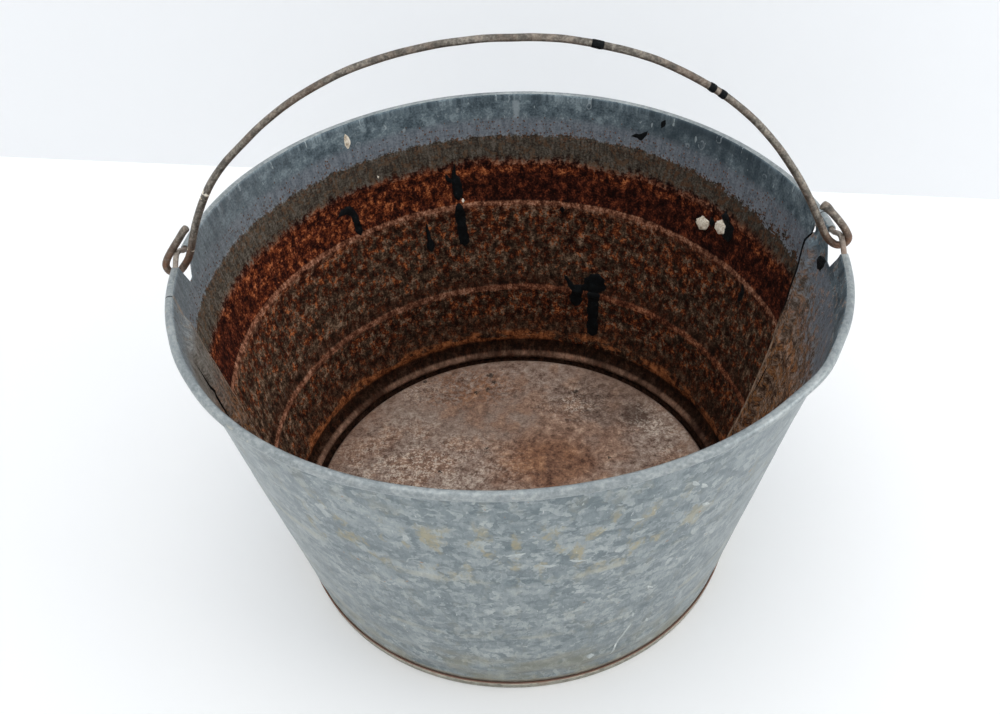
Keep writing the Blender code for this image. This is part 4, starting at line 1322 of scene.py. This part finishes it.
RUNS = [
    (0.15, [(254.9, 160.0, 0.7), (254.8, 156.0, 1.5), (254.6, 153.5, 1.7)]),
    (0.15, [(273.8, 149.6, 0.7), (272.5, 148.0, 1.2), (270.6, 147.4, 0.7)]),
    (0.15, [(300.2, 177.0, 0.6), (300.8, 174.0, 1.2), (301.8, 171.0, 0.8)]),
    (0.15, [(302.4, 171.0, 0.6), (302.9, 168.0, 1.2), (303.9, 165.5, 0.7)]),
    (0.15, [(304.4, 150.5, 0.6), (305.4, 148.0, 1.2), (306.4, 146.0, 0.7)]),
    (0.15, [(297.9, 88.5, 0.6), (298.5, 86.0, 1.2), (299.4, 84.0, 0.7)]),
    (0.15, [(296.1, 64.0, 0.5), (296.3, 61.0, 0.8), (296.5, 58.5, 0.5)]),
    (0.15, [(296.6, 51.0, 0.4), (296.0, 46.0, 0.6), (294.6, 36.0, 0.6), (293.6, 24.0, 0.7), (293.2, 20.0, 0.4)]),
    (0.25, [(287.9, 29.0, 1.4), (287.9, 26.5, 2.2), (287.8, 24.0, 1.6)]),
    (0.15, [(300.6, 48.0, 0.5), (300.8, 45.0, 1.0), (301.2, 43.0, 0.6)]),
    (0.15, [(281.0, 139.0, 0.5), (282.2, 137.0, 1.0), (283.8, 136.4, 0.5)]),
    (0.15, [(276.0, 138.0, 0.5), (277.6, 136.0, 1.2), (279.2, 136.6, 0.5)]),
    (0.15, [(290.4, 163.0, 0.5), (291.4, 161.0, 1.1), (292.8, 160.2, 0.5)]),
]


def bail_lumps(name, path, marks, mat):
    """Crusts round the bail wire: (x, height, half length, radius)."""
    verts, faces = [], []
    for mi, (x, h, half, rad) in enumerate(marks):
        i = min(range(len(path)), key=lambda k: (path[k].x - x) ** 2 + (path[k].z - ROLL_HEIGHT - h) ** 2)
        lo, hi = max(1, i - half), min(len(path) - 2, i + half)
        m = hi - lo
        rings = []
        for k in range(2 * m + 1):
            j, f = lo + k // 2, (k % 2) / 2
            p = path[j].lerp(path[j + 1], f)
            t = (path[j + 1] - path[j - 1]).normalized()
            u = Vector((0, 1, 0))
            u = (u - t * u.dot(t)).normalized()
            w = t.cross(u)
            e = 2.0 * k / (2 * m) - 1.0
            ring = []
            for q in range(16):
                a = 2 * math.pi * q / 16
                grow = max(1.0 - e * e, 0.0) ** 0.5 * (1.0 + 0.4 * noise.noise(
                    Vector((math.cos(a) * 1.4, math.sin(a) * 1.4, k * 0.3 + mi * 4.1))))
                rr = 1.62 + (rad - 1.62) * grow
                ring.append(len(verts))
                verts.append(tuple(p + u * (rr * math.cos(a)) + w * (rr * math.sin(a))))
            rings.append(ring)
        for a, b in zip(rings, rings[1:]):
            for q in range(16):
                faces.append((a[q], a[(q + 1) % 16], b[(q + 1) % 16], b[q]))
        faces.append(tuple(rings[0])[::-1])
        faces.append(tuple(rings[-1]))
    ob = mesh_object(name, verts, faces, [mat], None, None, 40.0)
    bm = bmesh.new()
    bm.from_mesh(ob.data)
    bmesh.ops.recalc_face_normals(bm, faces=bm.faces[:])
    bm.to_mesh(ob.data)
    bm.free()
    return ob


# ---------------------------------------------------------------- build
zinc_out = exterior_zinc("galvanised_outside")
zinc_rim = exterior_zinc("galvanised_rim", True)
wall_in = interior_wall("rusted_zinc_inside")
base_in = base_inside("rusted_bottom_inside")
base_out = base_outside("zinc_bottom_outside")
rim_mat = wire_metal("ear_wire", srgb(92, 82, 74), srgb(138, 128, 118), srgb(178, 172, 162), srgb(118, 84, 64), 0.5)
bail_mat = wire_metal("bail_wire", srgb(52, 47, 42), srgb(104, 98, 90), srgb(172, 166, 154), srgb(106, 70, 48), 0.30, True)

front = wall_shell("front_sheet", "over", SEAM_LEFT, SEAM_RIGHT + 360.0, "right", 1.0, [wall_in, zinc_out, zinc_rim])
back = wall_shell("back_sheet", "under", SEAM_RIGHT, SEAM_LEFT, "left", 1.0, [wall_in, zinc_out, zinc_rim])
base = bottom("pressed_bottom", [base_in, base_out])
rimw = rim_wire("rim_ring", [rim_mat])
handle_path = bail_path()
bail = bail_wire("bail_handle", handle_path, [bail_mat])

tar_mat = lump_material("dried_tar", [(0.0, (2, 3, 4)), (0.5, (8, 11, 13)), (0.85, (20, 25, 27)),
                                      (1.0, (48, 52, 54))], 0.46, 0.0005, 0.10)
white_mat = lump_material("dried_plaster", [(0.0, (146, 126, 104)), (0.35, (206, 192, 170)),
                                            (0.7, (240, 232, 216)), (1.0, (252, 248, 238))], 0.6, 0.0006)
tar = wall_lumps("tar_drips", TAR, tar_mat)
white = wall_lumps("plaster_specks", WHITE, white_mat)
bail_tar = bail_lumps("bail_tar", handle_path, [(45.1, 112.2, 3, 1.95), (97.4, 89.0, 2, 2.0), (102.4, 85.6, 2, 1.95)], tar_mat)
bail_white = bail_lumps("bail_specks", handle_path, [(-144.9, 42.2, 2, 1.93), (-147.6, 38.4, 1, 1.95),
                                                     (-160.3, 8.6, 1, 1.95)], white_mat)
for ob in (bail_tar, bail_white):
    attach(ob, "bail")
runs = wall_lumps("zinc_runs", RUNS, lump_material(
    "zinc_runs", [(0.0, (140, 147, 147)), (0.5, (166, 172, 171)), (1.0, (196, 200, 197))], 0.45, 0.0002), False)
for ob in (tar, white, runs):
    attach(ob, "bucket")

for ob, body, node in ((front, "bucket", "front_wall"), (back, "bucket", "back_wall"),
                       (base, "bucket", "base"), (rimw, "bucket", "rim_wire"),
                       (bail, "bail", "bail")):
    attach(ob, body)
    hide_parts(node)


# ---------------------------------------------------------------- stage
def camera():
    pitch, roll, f = 0.715, -0.058, 1023.4
    c0 = Vector((-4.45, -434.22, 503.46))
    fwd = Vector((0, math.cos(pitch), -math.sin(pitch)))
    right = Vector((1, 0, 0))
    up = right.cross(fwd)
    r2 = right * math.cos(roll) + up * math.sin(roll)
    u2 = -right * math.sin(roll) + up * math.cos(roll)
    rot = Matrix.Rotation(math.radians(TWIST), 3, "Z")
    pos = rot @ c0 + Vector((SHIFT[0], SHIFT[1], 0))
    x, y, z = rot @ r2, rot @ u2, -(rot @ fwd)
    m = Matrix(((x.x, y.x, z.x, pos.x * MM), (x.y, y.y, z.y, pos.y * MM),
                (x.z, y.z, z.z, pos.z * MM), (0, 0, 0, 1)))
    cam = bpy.data.cameras.new("camera")
    cam.sensor_fit = "HORIZONTAL"
    cam.sensor_width = 36.0
    cam.lens = f / 1000.0 * 36.0
    cam.clip_start = 0.01
    ob = bpy.data.objects.new("camera", cam)
    bpy.context.scene.collection.objects.link(ob)
    ob.matrix_world = m
    bpy.context.scene.camera = ob
    return rot, pos


def stage_mat(name, c, rough=0.9, one_sided=False):
    g = Graph(name)
    n = g.noise(g.coord(), 3.0, 3.0)
    col = g.mix(g.mul(g.sub(n, 0.5), 0.06), c, (1, 1, 1))
    m = g.finish(col, rough, 0.0)
    if one_sided:         # seen from behind it isn't there, so that it never hides the bucket
        tr = g.n("ShaderNodeBsdfTransparent")
        mx = g.n("ShaderNodeMixShader")
        geo = g.n("ShaderNodeNewGeometry")
        g.t.links.new(geo.outputs["Backfacing"], mx.inputs[0])
        g.t.links.new(g.b.outputs[0], mx.inputs[1])
        g.t.links.new(tr.outputs[0], mx.inputs[2])
        g.t.links.new(mx.outputs[0], g.out.inputs[0])
    return m


def plane(name, corners, mat):
    me = bpy.data.meshes.new(name)
    me.from_pydata(corners, [], [(0, 1, 2, 3)])
    me.materials.append(mat)
    ob = bpy.data.objects.new(name, me)
    bpy.context.scene.collection.objects.link(ob)
    return ob


rot, cam_pos = camera()
floor_mat = stage_mat("pale_floor", (0.955, 0.955, 0.955))
wall_mat = stage_mat("pale_backdrop", (0.86, 0.87, 0.885), 0.9, True)
plane("floor", [(-6, -6, 0), (6, -6, 0), (6, 6, 0), (-6, 6, 0)], floor_mat)
foot, along = Vector((-0.0184, 0.4047, 0.0)), Vector((0.9908, -0.1350, 0.0)) * 4.0
plane("backdrop", [tuple(foot - along), tuple(foot + along), tuple(foot + along + Vector((0, 0, 3))),
                   tuple(foot - along + Vector((0, 0, 3)))], wall_mat)


def area(name, loc, target, size, energy, color=(1, 1, 1)):
    l = bpy.data.lights.new(name, "AREA")
    l.shape = "RECTANGLE"
    l.size, l.size_y = size
    l.energy = energy
    l.color = color
    ob = bpy.data.objects.new(name, l)
    bpy.context.scene.collection.objects.link(ob)
    ob.location = loc
    d = Vector(target) - Vector(loc)
    ob.rotation_euler = d.to_track_quat("-Z", "Y").to_euler()
    return ob


world = bpy.data.worlds.new("soft_studio")
world.use_nodes = True
bg = world.node_tree.nodes["Background"]
bg.inputs[0].default_value = (0.96, 0.98, 1.0, 1.0)
bg.inputs[1].default_value = 1.04
bpy.context.scene.world = world
area("key", (-0.5, -0.2, 2.2), (0, 0, 0.1), (1.8, 1.8), 8.0)
area("side", (1.9, -0.3, 0.9), (0, 0, 0.1), (1.4, 1.4), 12.0)

sc = bpy.context.scene
sc.view_settings.view_transform = "Standard"
sc.view_settings.look = "None"
sc.view_settings.exposure = 0.0
sc.view_settings.gamma = 1.0
